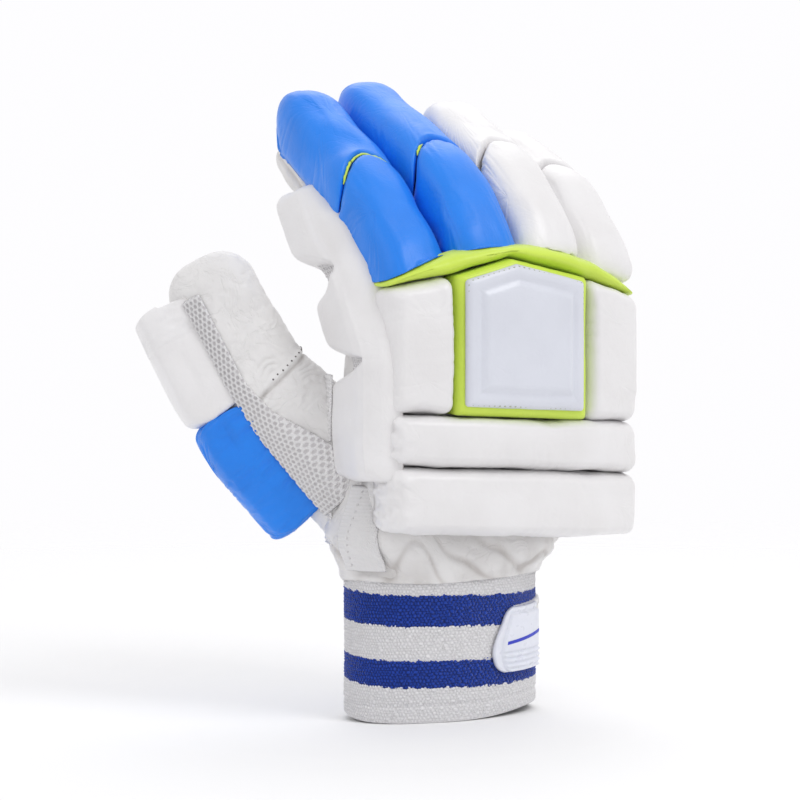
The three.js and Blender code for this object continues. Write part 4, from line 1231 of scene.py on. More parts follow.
def honeycomb(x: Array, y: Array, pitch: float) -> Array:
    """Returns: distance to the nearest middle of a hexagonal cell, over the pitch."""
    tall = pitch * math.sqrt(3)
    found = []
    for dx, dy in ((0.0, 0.0), (pitch / 2, tall / 2)):
        a = (x - dx) / pitch
        b = (y - dy) / tall
        found.append(np.hypot((a - np.round(a)) * pitch, (b - np.round(b)) * tall))
    return np.minimum(*found) / pitch


# Assemblies
@dataclass
class BackPads:
    """Pads over the back of the hand: two bars, two side pads, the green surround, its panel and the band."""

    ends: tuple = (-44.0, 79.5)
    bars: tuple = ((78.5, 105.9), (106.3, 127.9))
    surround: tuple = (-16.0, 48.5)
    panel: tuple = (-13.4, 44.4)
    panel_low: float = 3.8
    panel_drop: float = 2.3

    def pad(self, name: str, left: float, right: float, low: Callable, high: Callable, inset: float, rim: Rim,
            seed: int, lumps: float, puckers: float, gathers: float = 0.0, fall: float = 0.0) -> Skin:
        """Returns: one pad between four edges of the back, stuffed out to the pads' front."""
        seat_lift = HAND.backing + 2 * HAND.gap
        middle = (left + right) / 2
        tall = float(high(middle) - low(middle))
        depth = float(HAND.back_line(middle, seat_lift) - HAND.front_line(middle))
        cushion = Cushion(right - left, tall, rim, depth)

        def place(u: Array, v: Array, height: Array) -> Array:
            """Returns: points between the backing and the pads' front."""
            x = mix(left, right, u)
            seat = HAND.back_line(x, seat_lift)
            crown = HAND.front_line(x) + inset + fall * np.abs(2 * u - 1) ** 4
            return stack(x, mix(seat, crown, height), mix(low(x), high(x), v))

        soft = soft_relief(seed, lumps, puckers, 7.5, 13.0)
        pleat = Ripple(seed + 3, 5.0)

        def relief(pad: Cushion, points: Array) -> Array:
            """Returns: the pad's unevenness, with pleats where its thumb end is gathered into the seam."""
            from_end = points[..., 0] - self.ends[0]
            pleats = pleat(points * [0.25, 1.0, 1.0])
            return soft(pad, points) + gathers * pleats * np.exp(-np.maximum(from_end, 0) / 4.5)

        return cushion.skin(name, place, relief)

    def build(self, shop: Workshop) -> None:
        """Makes the seven pads."""
        slope = HAND.slope
        left, right = self.ends
        bar = Rim(edge=0.5, side=4.6, ends=5.0, corner=4.0, crown=0.08)
        block = Rim(edge=0.5, side=4.6, ends=4.8, corner=4.0, crown=0.05)
        flat = Rim(edge=0.72, side=3.6, ends=3.6, corner=1.5, crown=0.0)
        band = Rim(edge=0.45, side=6.0, ends=6.0, corner=5.0, crown=0.03)
        low = lambda x: HAND.back_start + slope(x)
        above = lambda x: HAND.roof_line(x) + HAND.gap
        for index, (name, (start, end)) in enumerate(zip(("wrist_bar_lower", "wrist_bar_upper"), self.bars)):
            skin = self.pad("padded_" + name, left, right, lambda x, z=start: z + slope(x),
                            lambda x, z=end: z + slope(x), 0.0, bar, 11 + 5 * index, 0.3, 0.6, 0.8)
            shop.fit(skin, Tint.WHITE, [name], 0.75)
        spans = {"back_pad_thumb_side": (left, self.surround[0] - HAND.gap),
                 "back_pad_outer": (self.surround[1] + HAND.gap, right)}
        for index, (name, span) in enumerate(spans.items()):
            seed = 31 + 5 * index
            skin = self.pad("padded_" + name, *span, low, HAND.roof_line, 0.0, block, seed, 0.3, 0.6)
            shop.fit(skin, Tint.WHITE, [name], 0.75)
        skin = self.pad("padded_badge_surround", *self.surround, low, HAND.roof_line, 1.2, flat, 41, 0.2,
                        0.25)
        shop.fit(skin, Tint.LIME, ["badge_surround"], 0.8)
        skin = self.pad("padded_knuckle_band", left, right, above, HAND.band_line, 3.2, band, 47, 0.15, 0.15,
                        fall=0.8)
        shop.fit(skin, Tint.LIME, ["knuckle_band"], 0.75)
        self.badge(shop)
        self.backing(shop)

    def backing(self, shop: Workshop) -> None:
        """Makes the leather backing that the pads are sewn to."""
        def surface(u: Array, v: Array, lift: Array) -> Array:
            """Returns: points of the backing's arch."""
            x = mix(self.ends[0] + 1, self.ends[1] - 1, u)
            z = mix(80.0 + HAND.slope(x), HAND.band_line(x) - 2.6, v)
            return stack(x, HAND.back_line(x, lift), z)

        shop.fit(slab("back_backing", surface, 125.0, 110.0, -6.0, 8.4, None, 0.9, 4.0), Tint.LEATHER,
                 ["back_panel"])

        def joining(u: Array, v: Array, lift: Array) -> Array:
            """Returns: points of the leather that joins the hand's outer side to the backing's edge."""
            edge = self.ends[1] - 2.5
            z = mix(80.0 + HAND.slope(edge) + 2.0, HAND.band_line(edge) - 6.0, v)
            near = HAND.surface(np.clip((z - HAND.hem) / (HAND.top - HAND.hem), 0, 0.93), mix(38.0, 30.0, v))
            near = stack(near[..., 0] - 1.0, near[..., 1], z)
            far = stack(edge + 0 * u, HAND.back_line(edge, 1.0) + 0 * u, z)
            bulge = stack(edge + 2.5 + 0 * u, mix(near[..., 1], far[..., 1], 0.45), z)
            share = u[..., None]
            points = near * (1 - share) ** 2 + bulge * 2 * share * (1 - share) + far * share ** 2
            points = points + stack(0 * u, 0 * u, 7.0 * (1 - u) ** 2 * (1 - v) ** 3)
            puff = 0.7 * np.sin(v * 23 + 1.5 * u) * np.sin(np.pi * u)
            return points + stack(lift + puff, 0.3 * lift, 0 * lift)

        gusset = shop.fit(slab("outer_gusset", joining, 36.4, 98.0, -0.6, 1.4, None, 0.9, 1.2), Tint.LEATHER)

    def panel_point(self, x: Array, z: Array, lift: Array) -> Array:
        """Returns: points of the badge panel's face, by place and by lift over the surround."""
        return stack(x, HAND.front_line(x) + 1.2 - lift, z)

    def badge(self, shop: Workshop) -> None:
        """Makes the bare padded panel, a groove along its border round a raised field, and its border
        stitches.
        """
        left, right = self.panel
        low = lambda x: HAND.back_start + HAND.slope(x) + self.panel_low
        high = lambda x: HAND.roof_line(x) - self.panel_drop
        rim = Rim(edge=0.25, side=2.6, ends=2.6, corner=1.2, tuck=0.2, crown=0.25)
        cushion = Cushion(right - left, 46.0, rim, 3.2)

        def place(u: Array, v: Array, height: Array) -> Array:
            """Returns: points of the panel over the surround's face."""
            x = mix(left, right, u)
            return self.panel_point(x, mix(low(x), high(x), v), mix(0.1, 3.0, height))

        def quilted(panel: Cushion, points: Array) -> Array:
            """Returns: a groove that follows the border, between the padded rim and the raised field."""
            x, z = points[..., 0], points[..., 2]
            edge = np.minimum(np.minimum(x - left, right - x), np.minimum(z - low(x), high(x) - z))
            field_rise = 0.9 * smooth((edge - 7.0) / 2.2)
            return field_rise - 0.8 * bell(edge - 6.0, 0.9) + 0.12 * Ripple(5, 20.0)(points)

        shop.fit(cushion.skin("padded_badge_panel", place, quilted), Tint.SILVER, ["badge_panel"], 0.7)
        inset, lift = 0.9, 1.9
        x = np.linspace(left + inset, right - inset, 90)
        z = np.linspace(0, 1, 60)
        lines = [stack(x, low(x) + inset), stack(x, high(x) - inset)]
        lines += [stack(np.full(60, end), mix(low(end) + inset, high(end) - inset, z)) for end in x[[0, -1]]]
        paths = [(self.panel_point(line[:, 0], line[:, 1], lift), np.tile([0.0, -1.0, 0.0], (len(line), 1)))
                 for line in lines]
        shop.fit(stitches("badge_stitches", paths, 1.5, 1.0, 0.75, 0.35), Tint.SILVER,
                 material=shop.palette.grey_thread)


@dataclass
class FingerRolls:
    """Two padded rolls on each finger, folded at a pointed seam, with a thin green welt in the seams."""

    rim: Rim = Rim(edge=0.72, side=2.5, ends=5.0, corner=3.0, crown=0.03)
    span: float = 98.0

    def build(self, shop: Workshop) -> None:
        """Makes the eight rolls and the welts."""
        for index, digit in enumerate(DIGITS):
            self.roll(shop, digit, "base", 61 + 10 * index)
            self.roll(shop, digit, "tip", 66 + 10 * index)
            self.welt(shop, digit)

    def roll(self, shop: Workshop, digit: Digit, part: str, seed: int) -> None:
        """Makes one roll.

        Args:
            shop: takes the finished piece.
            digit: the finger that it lies on.
            part: base or tip.
            seed: starts its creases.
        """
        base = part == "base"
        across = np.radians(self.span * 2) * digit.roll_width / 2 * 1.16
        tall = digit.base_length + 8 if base else digit.length - digit.base_length + 6
        cushion = Cushion(across, tall, self.rim, digit.roll_height - 13)

        def place(u: Array, v: Array, height: Array) -> Array:
            """Returns: points of the roll over the finger's back."""
            angle = mix(-self.span, self.span, u)
            fold = digit.seam_line(angle)
            if base:
                points = digit.roll(mix(-6.0, fold - 0.3, v), angle, height)
                points[..., 2] = np.maximum(points[..., 2], HAND.band_line(points[..., 0]) - 0.4)
                return points
            end = digit.length + digit.tip_round - 19 * (1 - np.cos(np.radians(angle * 0.9)))
            dome = quarter((1 - v) * (end - fold), digit.tip_round + 2)
            return digit.roll(mix(fold + 0.3, end, v), angle, height * (0.3 + 0.7 * dome))

        name = f"{digit.name}_{part}_roll"
        skin = cushion.skin("padded_" + name, place, soft_relief(seed, 0.4, 1.3, 6.5, 13.0))
        shop.fit(skin, digit.tint, [name], 0.75)

    def welt(self, shop: Workshop, digit: Digit) -> None:
        """Makes the green cord that lies in the seam between a finger's two rolls."""
        for index, (first, last) in enumerate(digit.welts):
            angle = np.linspace(first, last, 90)
            frayed = 0.14 * Ripple(77 + index, 2.0)(stack(angle * 0.27, 0 * angle))
            path = digit.roll(digit.seam_line(angle) + frayed, angle, 0.94 + 0.02 * frayed)
            ends = np.sqrt(np.clip(np.minimum(angle - first, last - angle) / 8, 0.02, 1))
            cord = tube(f"{digit.name}_seam_welt_{index + 1}", path, (0.55 + 0.5 * frayed) * ends)
            shop.fit(cord, Tint.LIME)


@dataclass
class ThumbPads:
    """The thumb's two boxy pads.

    Each has the places along the thumb where it starts and ends, its share of the width and the depth of its
    creases.
    """

    rim: Rim = Rim(edge=0.62, side=4.0, ends=3.5, corner=2.5, crown=0.03)
    base: tuple = (6.5, 60.3, 0.96, 1.9)
    tip: tuple = (60.7, 111.5, 1.0, 0.9)

    def build(self, shop: Workshop) -> None:
        """Makes both pads."""
        self.pad(shop, "thumb_base_roll", Tint.BLUE, 111, *self.base)
        self.pad(shop, "thumb_tip_roll", Tint.WHITE, 121, *self.tip)

    def pad(self, shop: Workshop, name: str, tint: Tint, seed: int, start: float, end: float, slim: float,
            puckers: float) -> None:
        """Makes one pad, for the CAD node of that name."""
        def place(u: Array, v: Array, height: Array) -> Array:
            """Returns: points of the pad along the thumb."""
            return THUMB.pad(mix(start, end, v), 1 - u, height, slim)

        cushion = Cushion(THUMB.width * 1.25, end - start, self.rim, THUMB.roll + 4)
        skin = cushion.skin("padded_" + name, place, soft_relief(seed, 0.35, puckers, 4.6, 24.0))
        shop.fit(skin, tint, [name], 0.75)


@dataclass
class SidePads:
    """Padding on the index finger's side: one long face folded along a ridge, notched into three pads."""

    rim: Rim = Rim(edge=0.35, side=4.5, ends=4.5, corner=4.0, crown=0.12, step=1.0)
    outer: float = -53.0
    foot: float = 60.0
    reach: float = 111.4
    low: float = 0.385
    high: float = 1.5
    bend: float = 0.36
    depth: float = 8.0
    ridge: tuple = ((0.385, -28.0), (0.84, -26.5), (0.95, -20.0), (1.15, -6.0), (1.3, 11.0), (1.5, 28.0))
    front: tuple = ((0.385, 7.0), (0.84, 8.5), (1.15, 14.0), (1.5, 14.0))
    rear: tuple = ((0.385, 33.0), (0.84, 33.0), (1.0, 30.0), (1.18, 24.0), (1.5, 19.0))
    flare: tuple = ((0.385, 3.0), (0.84, 2.5), (1.15, -1.0), (1.22, -4.0), (1.5, -5.0))
    notches: tuple = ((0.84, 0.055), (1.185, 0.075))

    def build(self, shop: Workshop) -> None:
        """Makes the padding, which stands for the three pads of the frame."""
        tall = (self.high - self.low) * self.reach
        cushion = Cushion(44.0, tall, self.rim, 8.5)
        skin = cushion.skin("padded_index_side", self.fold, soft_relief(131, 0.45, 0.5, 7.0, 7.0))
        shop.fit(skin, Tint.WHITE,
                 ["index_side_pad_lower", "index_side_pad_middle", "index_side_pad_upper"], 0.7)
        gusset = slab("index_gusset_mesh", self.behind, 30.0, 78.0, 0.0, 1.2, Insets().holes, 0.45, 1.0)
        piece = shop.fit(gusset, Tint.KNIT)

    def behind(self, u: Array, v: Array, lift: Array) -> Array:
        """Returns: points of the mesh under the padding, which shows in its notches."""
        points = self.fold(mix(0.2, 0.9, u), mix(0.35, 0.93, v), 0 * u)
        return points - [2.2, 0, 0] - stack(lift, 0 * lift, 0 * lift)

    def cut(self, level: Array, across: Array) -> Array:
        """Returns: 1 at the bottom of the notches, which open like a V from the ridge to the rear edge."""
        found = 0 * level
        for centre, width in self.notches:
            spread = width * np.clip(across, 0.0, 1.0) + 0.006
            middle = centre - 0.03 * across
            found = np.maximum(found, np.exp(-np.abs((level - middle) / spread) ** 3))
        return found * smooth(across / 0.16 + 0.1)

    def fold(self, u: Array, v: Array, height: Array) -> Array:
        """Returns: points of the padding; u runs from its front edge over the ridge to its rear edge."""
        level = mix(self.low, self.high, v)
        ridge, front, rear, flare = (eased(level, *np.array(line).T, 0.04)
                                     for line in (self.ridge, self.front, self.rear, self.flare))
        first = np.clip(u / self.bend, 0, 1)
        second = np.clip((u - self.bend) / (1 - self.bend), 0, 1)
        notch = self.cut(level, second)
        rear = rear * (1 - 0.3 * self.cut(level, np.ones_like(level)))
        y = ridge - front * (1 - first) + rear * second
        corner = 1.2 * bell(first - 1 + second * 3, 0.3)
        x = self.outer + mix(8.0, 0.0, first) + flare * second + corner
        z = self.foot + self.reach * level - 0.35 * (y - ridge) * smooth(level - 0.7)
        z = z - 9.0 * (1 - first) * smooth((v - 0.82) / 0.18)
        thin = 0.35 + 0.65 * quarter((1 - v) * 124, 14.0)
        return stack(x + self.depth * (1 - height * thin * (1 - 0.82 * notch)), 2 + y, z)


@dataclass
class WristCuff:
    """Towelling cuff: one closed grid over the outside, the soft rim and the inside, covered in loops."""

    loops: int = 158
    pitch: float = 1.3
    loop: float = 0.75
    columns: int = 620
    rows: int = 134
    sag: float = 3.2

    def build(self, shop: Workshop) -> None:
        """Makes the cuff."""
        wall, height = HAND.cuff_wall, HAND.cuff_height
        turn = np.linspace(0, np.pi, 7)
        outer = np.linspace(height, wall / 2, self.rows)
        inner = np.linspace(wall / 2, height, 14)
        lift = np.concatenate([0 * outer, wall / 2 * (np.cos(turn) - 1), -wall + 0 * inner, [-wall / 2, 0]])
        z = np.concatenate([outer, wall / 2 * (1 - np.sin(turn)), inner, [height, height]])
        around = np.linspace(0, 2 * np.pi, self.columns + 1)
        lift, z = lift[:, None], z[:, None]
        half, deep = HAND.cuff_width / 2, HAND.cuff_depth / 2
        ellipse = stack(np.cos(around) * half, np.sin(around) * deep, 0 * around)
        place = ellipse[None] + stack(0 * z, 0 * z, z + 0 * around)
        wander, swell = Ripple(3, 4.0), Ripple(8, 26.0)
        across = self.loops * around + 1.5 * wander(place)
        along = z * 2 * np.pi / self.pitch + 1.5 * Ripple(5, 4.1)(place)
        weave = (np.cos(along) + np.cos(across + along / 2) + np.cos(across - along / 2)) / 3
        tuft = smooth((weave + 0.55) / 1.05) * (0.8 + 0.2 * Ripple(6, 2.7)(place))
        outside = smooth((lift + wall / 2) / (wall / 2))
        pressed = bell(signed(np.degrees(around)) + 2, 62) ** 4 * bell(z - 34, 15.5) ** 4
        relief = outside * (self.loop * (tuft - 0.65) + 0.45 * swell(place) - 0.1)
        relief = relief * (1 - 0.8 * np.clip(pressed, 0, 1)) - 0.5 * outside * bell(z - 7.5, 0.9)
        points = stack((half + lift + relief) * np.cos(around), (deep + lift + relief) * np.sin(around),
                       z + 0 * around)
        raised = np.cos(around - math.radians(150)) ** 2
        points[..., 2] += self.sag * raised ** 2 * np.exp(-z / 14)
        points[:, -1] = points[:, 0]
        tilt = 2.4 * smooth((-np.cos(around + math.radians(30)) - 0.1) / 1.1)
        low = 1.9 * smooth(np.cos(around + math.radians(30)) / 1.2)
        skin = Skin("towelling_cuff")
        length = np.pi * (HAND.cuff_width + HAND.cuff_depth) / 2
        # The mask is 1 between the loops, where the towelling paints shade.
        skin.add(points, stack(around / (2 * np.pi) * length + 0 * z, z - tilt + low), (1 - tuft) * outside)
        shop.fit(skin, Tint.TOWEL, ["wrist_cuff"])


@dataclass
class LeatherHand:
    """The sewn leather itself: the hand, four finger stalls and the thumb, hollow and open at the wrist."""

    hem_wave: float = 2.4
    wall: float = 2.0
    root_level: float = 156.0
    levels: tuple = ((0.992, 0.9, 16), (0.89, 0.16, 84), (0.155, 0.0, 34))
    inner_rows: int = 60
    patch: tuple = (94.0, 50.0, 0.56, 0.33)

    def build(self, shop: Workshop) -> None:
        """Makes the hand, the stalls, the thumb and the seams on them."""
        self.hand(shop)
        for index, digit in enumerate(DIGITS):
            self.stall(shop, digit, 201 + 7 * index)
        self.thumb(shop)

    def hem_line(self, angle: Array) -> Array:
        """Returns: how far the hem hangs under the CAD's level edge, in millimetres."""
        a = np.radians(angle)
        return self.hem_wave * (0.5 + 0.5 * np.sin(3 * a + 0.6)) * (0.6 + 0.4 * np.sin(a * 2 + 1.0))

    def hand(self, shop: Workshop) -> None:
        """Makes the hand, down the outside, round the hem and up the inside, and the patch on its palm."""
        around = np.linspace(0, 360, 361)
        up = np.concatenate([np.linspace(*part) for part in self.levels])
        angle, rise = np.meshgrid(around, up)
        points = HAND.surface(rise, angle)
        outwards = matched(normals(points, points * [1, 1, 0] - [HAND.shift, HAND.middle, 0.0]))
        low = 1 - smooth(rise / 0.34)
        fold_wave = Ripple(301, 30.0)
        slant = points @ np.array([0.5, 0.2, 1.0])
        folds = bell(np.sin(slant / 5.2 + 1.6 * fold_wave(points * [1, 1, 0.4])), 0.42)
        pull = Ripple(307, 17.0)
        tucks = bell(pull(points * [1, 1, 0.33]), 0.5)
        fine = Ripple(311, 9.0)
        swell = 1.3 * fold_wave(points) * (0.35 + 0.65 * low) * smooth(rise / 0.06)
        relief = (swell - 1.1 * folds * low * smooth(rise / 0.05) - 0.45 * tucks * low
                  - 0.3 * bell(fine(points), 0.7) * (0.3 + 0.7 * low))
        palm_side = np.clip(np.sin(np.radians(angle)), 0, 1)
        palm_folds = bell(np.sin(slant / 11.0 + 0.8 * fold_wave(points)), 0.3)
        relief = relief - palm_side * palm_folds * (1 - low)
        # Mask for painted shade in the folds and tucks low on the hand.
        mask = np.clip(0.75 * folds * low + 0.5 * tucks * low, 0, 1)
        middle, half, centre_up, half_up = self.patch
        ring = (np.abs((angle - middle) / half) ** 4 + np.abs((rise - centre_up) / half_up) ** 4) ** 0.25
        relief = relief + 1.1 * (1 - smooth((ring - 0.985) / 0.03)) - 0.35 * bell(ring - 0.93, 0.012)
        # The groove round the palm patch gets painted shade too.
        mask = np.clip(mask + 0.7 * bell(ring - 1.0, 0.02), 0, 1)
        points = points + outwards * relief[..., None]
        drop = self.hem_line(angle) * (1 - smooth(rise / 0.1))
        points[..., 2] -= drop
        hem = 0.5 * bell(rise - 0.012, 0.014) - 1.5 * (1 - smooth(rise / 0.09))
        points = points + outwards * hem[..., None]
        points[:, -1] = points[:, 0]
        inside = HAND.surface(rise, angle, -self.wall)
        inside[..., 2] -= drop * 0.9
        depth = self.inner_rows
        closed = np.concatenate([points, inside[::-1][:depth]])
        chart = stack(np.radians(angle) * 45, rise * 111)
        chart = np.concatenate([chart, chart[::-1][:depth]])
        skin = Skin("leather_hand")
        # The inside gets a mask of 0.6: painted shade inside the glove's opening.
        skin.add(closed, chart, np.concatenate([mask, 0 * mask[:depth] + 0.6]))
        top = points[:1]
        centre = top[:, :-1].mean(1, keepdims=True) + [[[0, 0, 0.6]]]
        lid = [mix(top, np.broadcast_to(centre, top.shape), share) for share in (0, 0.33, 0.66, 0.98)]
        skin.add(np.concatenate(lid))
        shop.fit(skin, Tint.LEATHER, ["palm_shell"])
        turn = np.linspace(0, 2 * np.pi, 600)
        wanted_angle = middle + 0.93 * half * power(np.cos(turn), 0.5)
        wanted_rise = centre_up + 0.93 * half_up * power(np.sin(turn), 0.5)
        columns = np.clip(np.round(wanted_angle).astype(int), 0, 360)
        nearest = np.abs(up[None] - wanted_rise[:, None]).argmin(1)
        path = [(points[nearest, columns], outwards[nearest, columns])]
        shop.fit(stitches("palm_patch_stitches", path, 2.2, 1.3, 0.6, 0.3), Tint.LEATHER,
                 material=shop.palette.thread)

    @staticmethod
    def sewn(points: Array, outwards: Array, rows: slice, around: Array, places: Sequence[float]) -> list:
        """Returns: seams along a leather grid, at places in degrees round it, as stitches() takes them."""
        columns = [int(np.argmin(np.abs(around - place))) for place in places]
        return [(points[rows, i] + 0.1 * outwards[rows, i], outwards[rows, i]) for i in columns]

    def stall(self, shop: Workshop, digit: Digit, seed: int) -> None:
        """Makes one leather finger with its domed tip, its side seams and their stitches."""
        around = np.linspace(0, 360, 97)
        start = float(digit.line(np.array([digit.first]))[0][0, 2])
        lowest = digit.first - (start - self.root_level)
        body = np.linspace(lowest, digit.length - 3, 110)
        turn = np.linspace(0, np.pi / 2, 12)[1:]
        s = np.concatenate([body, np.full(len(turn), digit.length - 3)])
        shrink = np.concatenate([np.ones(len(body)), np.cos(turn)])
        forward = np.concatenate([np.zeros(len(body)), 10.1 * np.sin(turn)])
        centre, back, side = digit.line(s)
        half, deep = digit.size(s)
        flare = smooth(-(s + 2) / 16)
        half = half + flare * 4.6
        ahead = digit.direction(s) * forward[:, None]
        a = np.radians(around)
        c, n = power(np.cos(a), 0.9), power(np.sin(a), 0.9)
        ring = (side[:, None] * (half * shrink)[:, None, None] * n[None, :, None]
                + back[:, None] * (deep * shrink)[:, None, None] * c[None, :, None])
        points = (centre + ahead)[:, None] + ring
        outwards = matched(normals(points, ring))
        slow, fine = Ripple(seed, 16.0), Ripple(seed + 1, 8.0)
        bend = bell(s - 4, 9.0) + bell(s - digit.base_length - 3, 9.0)
        inner = np.clip(-np.cos(a), 0, 1)
        rings = bell(np.sin(s[:, None] / 2.3 + 1.1 * slow(points)), 0.5)
        relief = (0.5 * slow(points) - 0.9 * rings * bend[:, None] * inner[None]
                  - 0.3 * bell(fine(points), 0.7) * (0.4 + 0.6 * inner[None]))
        seams = sum(bell(signed(around - place), 5.0) for place in (90, 270))
        ridges = sum(bell(signed(around - place), 4.0) for place in (101, 281))
        relief = relief - 0.7 * seams[None] + 0.5 * ridges[None]
        points = points + outwards * (relief * shrink[:, None] ** 0.5)[..., None]
        points[:, -1] = points[:, 0]
        skin = Skin(f"{digit.name}_leather_stall")
        # Mask for painted shade in the seam grooves and in the creases at the bends.
        mask = np.clip(0.8 * seams[None] + 0.6 * rings * bend[:, None] * inner[None], 0, 1)
        skin.add(points, stack(a * 12 + 0 * s[:, None], s[:, None] + 0 * a), mask)
        shop.fit(skin, Tint.LEATHER, [f"{digit.name}_stall"])
        paths = self.sewn(points, outwards, slice(18, len(body) - 4), around, (111, 291))
        shop.fit(stitches(f"{digit.name}_stall_stitches", paths, 1.8, 1.2, 0.5, 0.2), Tint.LEATHER,
                 material=shop.palette.thread)

    def thumb(self, shop: Workshop) -> None:
        """Makes the thumb with the web to the hand, its cross seam with punched holes, and its tip."""
        around = np.linspace(0, 360, 201)
        body = np.linspace(-6, 0.97 * THUMB.total, 250)
        turn = np.linspace(0, np.pi / 2, 18)[1:]
        s = np.concatenate([body, np.full(len(turn), body[-1])])
        shrink = np.concatenate([np.ones(len(body)), np.cos(turn) ** 0.75])
        forward = np.concatenate([np.zeros(len(body)), 14.5 * np.sin(turn)])
        angle, along = np.meshgrid(around, s)
        centre = THUMB.line(s)[0]
        ahead = unit(np.gradient(THUMB.line(np.linspace(100, 108, 9))[0], axis=0))[4]
        points = THUMB.surface(along, angle, 0.0, shrink[:, None]) + ahead * forward[:, None, None]
        outwards = matched(normals(points, points - centre[:, None]))
        slow, fine, waver = Ripple(401, 24.0), Ripple(403, 8.5), Ripple(405, 12.0)
        turned = signed(angle)
        web = smooth((25 - turned) / 30) * smooth((turned + 200) / 30)
        cross = 58.0 - 0.1 * np.clip(turned, -90, 60)
        near = bell(along - cross - 9, 12) + 0.55 * bell(along - cross + 10, 11)
        patches = smooth(0.5 + 0.9 * slow(points[..., [1, 2, 0]]))
        lines = bell(np.sin(along / 1.25 + 2.6 * waver(points)), 0.55) * patches
        relief = (0.45 * slow(points) - 0.75 * lines * near * (0.15 + 0.85 * web)
                  - 0.3 * bell(fine(points), 0.7))
        relief = relief - 1.1 * bell(along - cross, 0.9) * web + 0.7 * bell(along - cross - 2.2, 1.5) * web
        back_seam = bell(angle - 212, 4.0)
        relief = relief - 0.8 * back_seam * (along > 8)
        # Mask for painted shade in the back seam, in the creases near the cross seam and in its groove.
        mask = 0.8 * back_seam + 0.5 * lines * near * web + 0.8 * bell(along - cross, 1.0) * web
        points = points + outwards * (relief * shrink[:, None] ** 0.5)[..., None]
        points[:, -1] = points[:, 0]
        skin = Skin("thumb_leather_stall")
        skin.add(points, stack(np.radians(angle) * 16, along), np.clip(mask, 0, 1))
        shop.fit(skin, Tint.LEATHER, ["thumb_stall"])
        paths = self.sewn(points, outwards, slice(34, len(body) - 4), around, (218, 206))
        shop.fit(stitches("thumb_stitches", paths, 1.9, 1.3, 0.55, 0.22), Tint.LEATHER,
                 material=shop.palette.thread)
        # Painted shade: dark dots along the cross seam stand in for the punched holes.
        columns = np.nonzero((around > 225) & (around < 352))[0]
        seam_rows = [int(np.argmin(np.abs(body - cross[0, column] - 2.4))) for column in columns]
        punched = [(points[seam_rows, columns], outwards[seam_rows, columns])]
        shop.fit(stitches("thumb_seam_holes", punched, 0.9, 2.1, 0.9, 0.05), Tint.LEATHER,
                 material=shop.palette.hole)


@dataclass
class Insets:
    """Thin cloth sewn on the leather: honeycomb mesh, knitted side panel and ribbed strip."""

    cell: float = 2.5

    def build(self, shop: Workshop) -> None:
        self.mesh(shop)
        self.side(shop)
        self.strip(shop)

    def holes(self, x: Array, y: Array) -> tuple[Array, Array]:
        """Returns: lift and mask of honeycomb mesh, sunk in the middle of each cell."""
        near = honeycomb(x, y, self.cell)
        # The cells' mask is where the knit paints shade in the sunk holes.
        cell = 1 - smooth((near - 0.26) / 0.16)
        return -0.75 * cell, cell

    def mesh(self, shop: Workshop) -> None:
        """Makes the mesh along the thumb's upper side, wider at its root."""
        def surface(u: Array, v: Array, lift: Array) -> Array:
            """Returns: points over the thumb's leather."""
            s = mix(0.02, 0.97, v) * THUMB.total
            angle = mix(36.0, mix(-24.0, 8.0, smooth(v * 1.5)), u)
            return THUMB.surface(s, angle, lift)

        def even(x: Array, y: Array) -> tuple[Array, Array]:
            """Returns: lift and mask of the mesh, its cells as large at the wide root as at the tip."""
            return self.holes(20.0 + (x / 20.0 - 0.5) * mix(27.0, 11.0, smooth(y / 106.0 * 1.5)), y)

        piece = shop.fit(slab("thumb_mesh_inset", surface, 20.0, 106.0, 0.3, 1.5, even, 0.4, 1.0), Tint.KNIT,
                         ["thumb_mesh"])

    def side(self, shop: Workshop) -> None:
        """Makes the knitted panel on the wrist's thumb side, with a row of holes down it."""
        def surface(u: Array, v: Array, lift: Array) -> Array:
            """Returns: points over the hand's leather."""
            return HAND.surface(mix(0.04, 0.36, v), mix(-172.0, -140.0, u), lift)

        def punched(x: Array, y: Array) -> tuple[Array, Array]:
            """Returns: lift and mask of fine ribs with a slanted row of holes."""
            ribs = 0.16 * np.sin(y * 2 * np.pi / 1.5)
            line = x - 6.0 - 0.14 * y
            hole = bell(np.hypot(line, (y + 1.4) % 2.8 - 1.4), 0.55)
            # The holes' mask is where the knit paints shade.
            return ribs - 0.8 * hole, hole

        piece = shop.fit(slab("side_knit_inset", surface, 26.0, 36.0, 0.3, 1.3, punched, 0.4, 1.2), Tint.KNIT,
                         ["side_knit_panel"])

    def strip(self, shop: Workshop) -> None:
        """Makes the ribbed knit binding between the thumb and the padding of the index finger's side."""
        def surface(u: Array, v: Array, lift: Array) -> Array:
            """Returns: points of the binding, which leans out towards the thumb."""
            bow = 3.0 * np.sin(np.pi * v)
            return stack(-50.6 - lift + 4.5 * u + 0.3 * bow, 4.0 + 13.0 * u + bow, mix(74.0, 146.0, v))

        def ribbed(x: Array, y: Array) -> tuple[Array, Array]:
            """Returns: lift and mask of ribs across the binding."""
            rib = np.sin(y * 2 * np.pi / 1.9)
            # The mask is highest in the grooves between ribs, where the knit paints a little shade.
            return 0.3 * rib, 0.3 * (1 - rib) / 2

        piece = shop.fit(slab("web_knit_inset", surface, 13.7, 72.0, 0.0, 1.3, ribbed, 0.4, 1.0), Tint.KNIT,
                         ["web_knit_strip"])


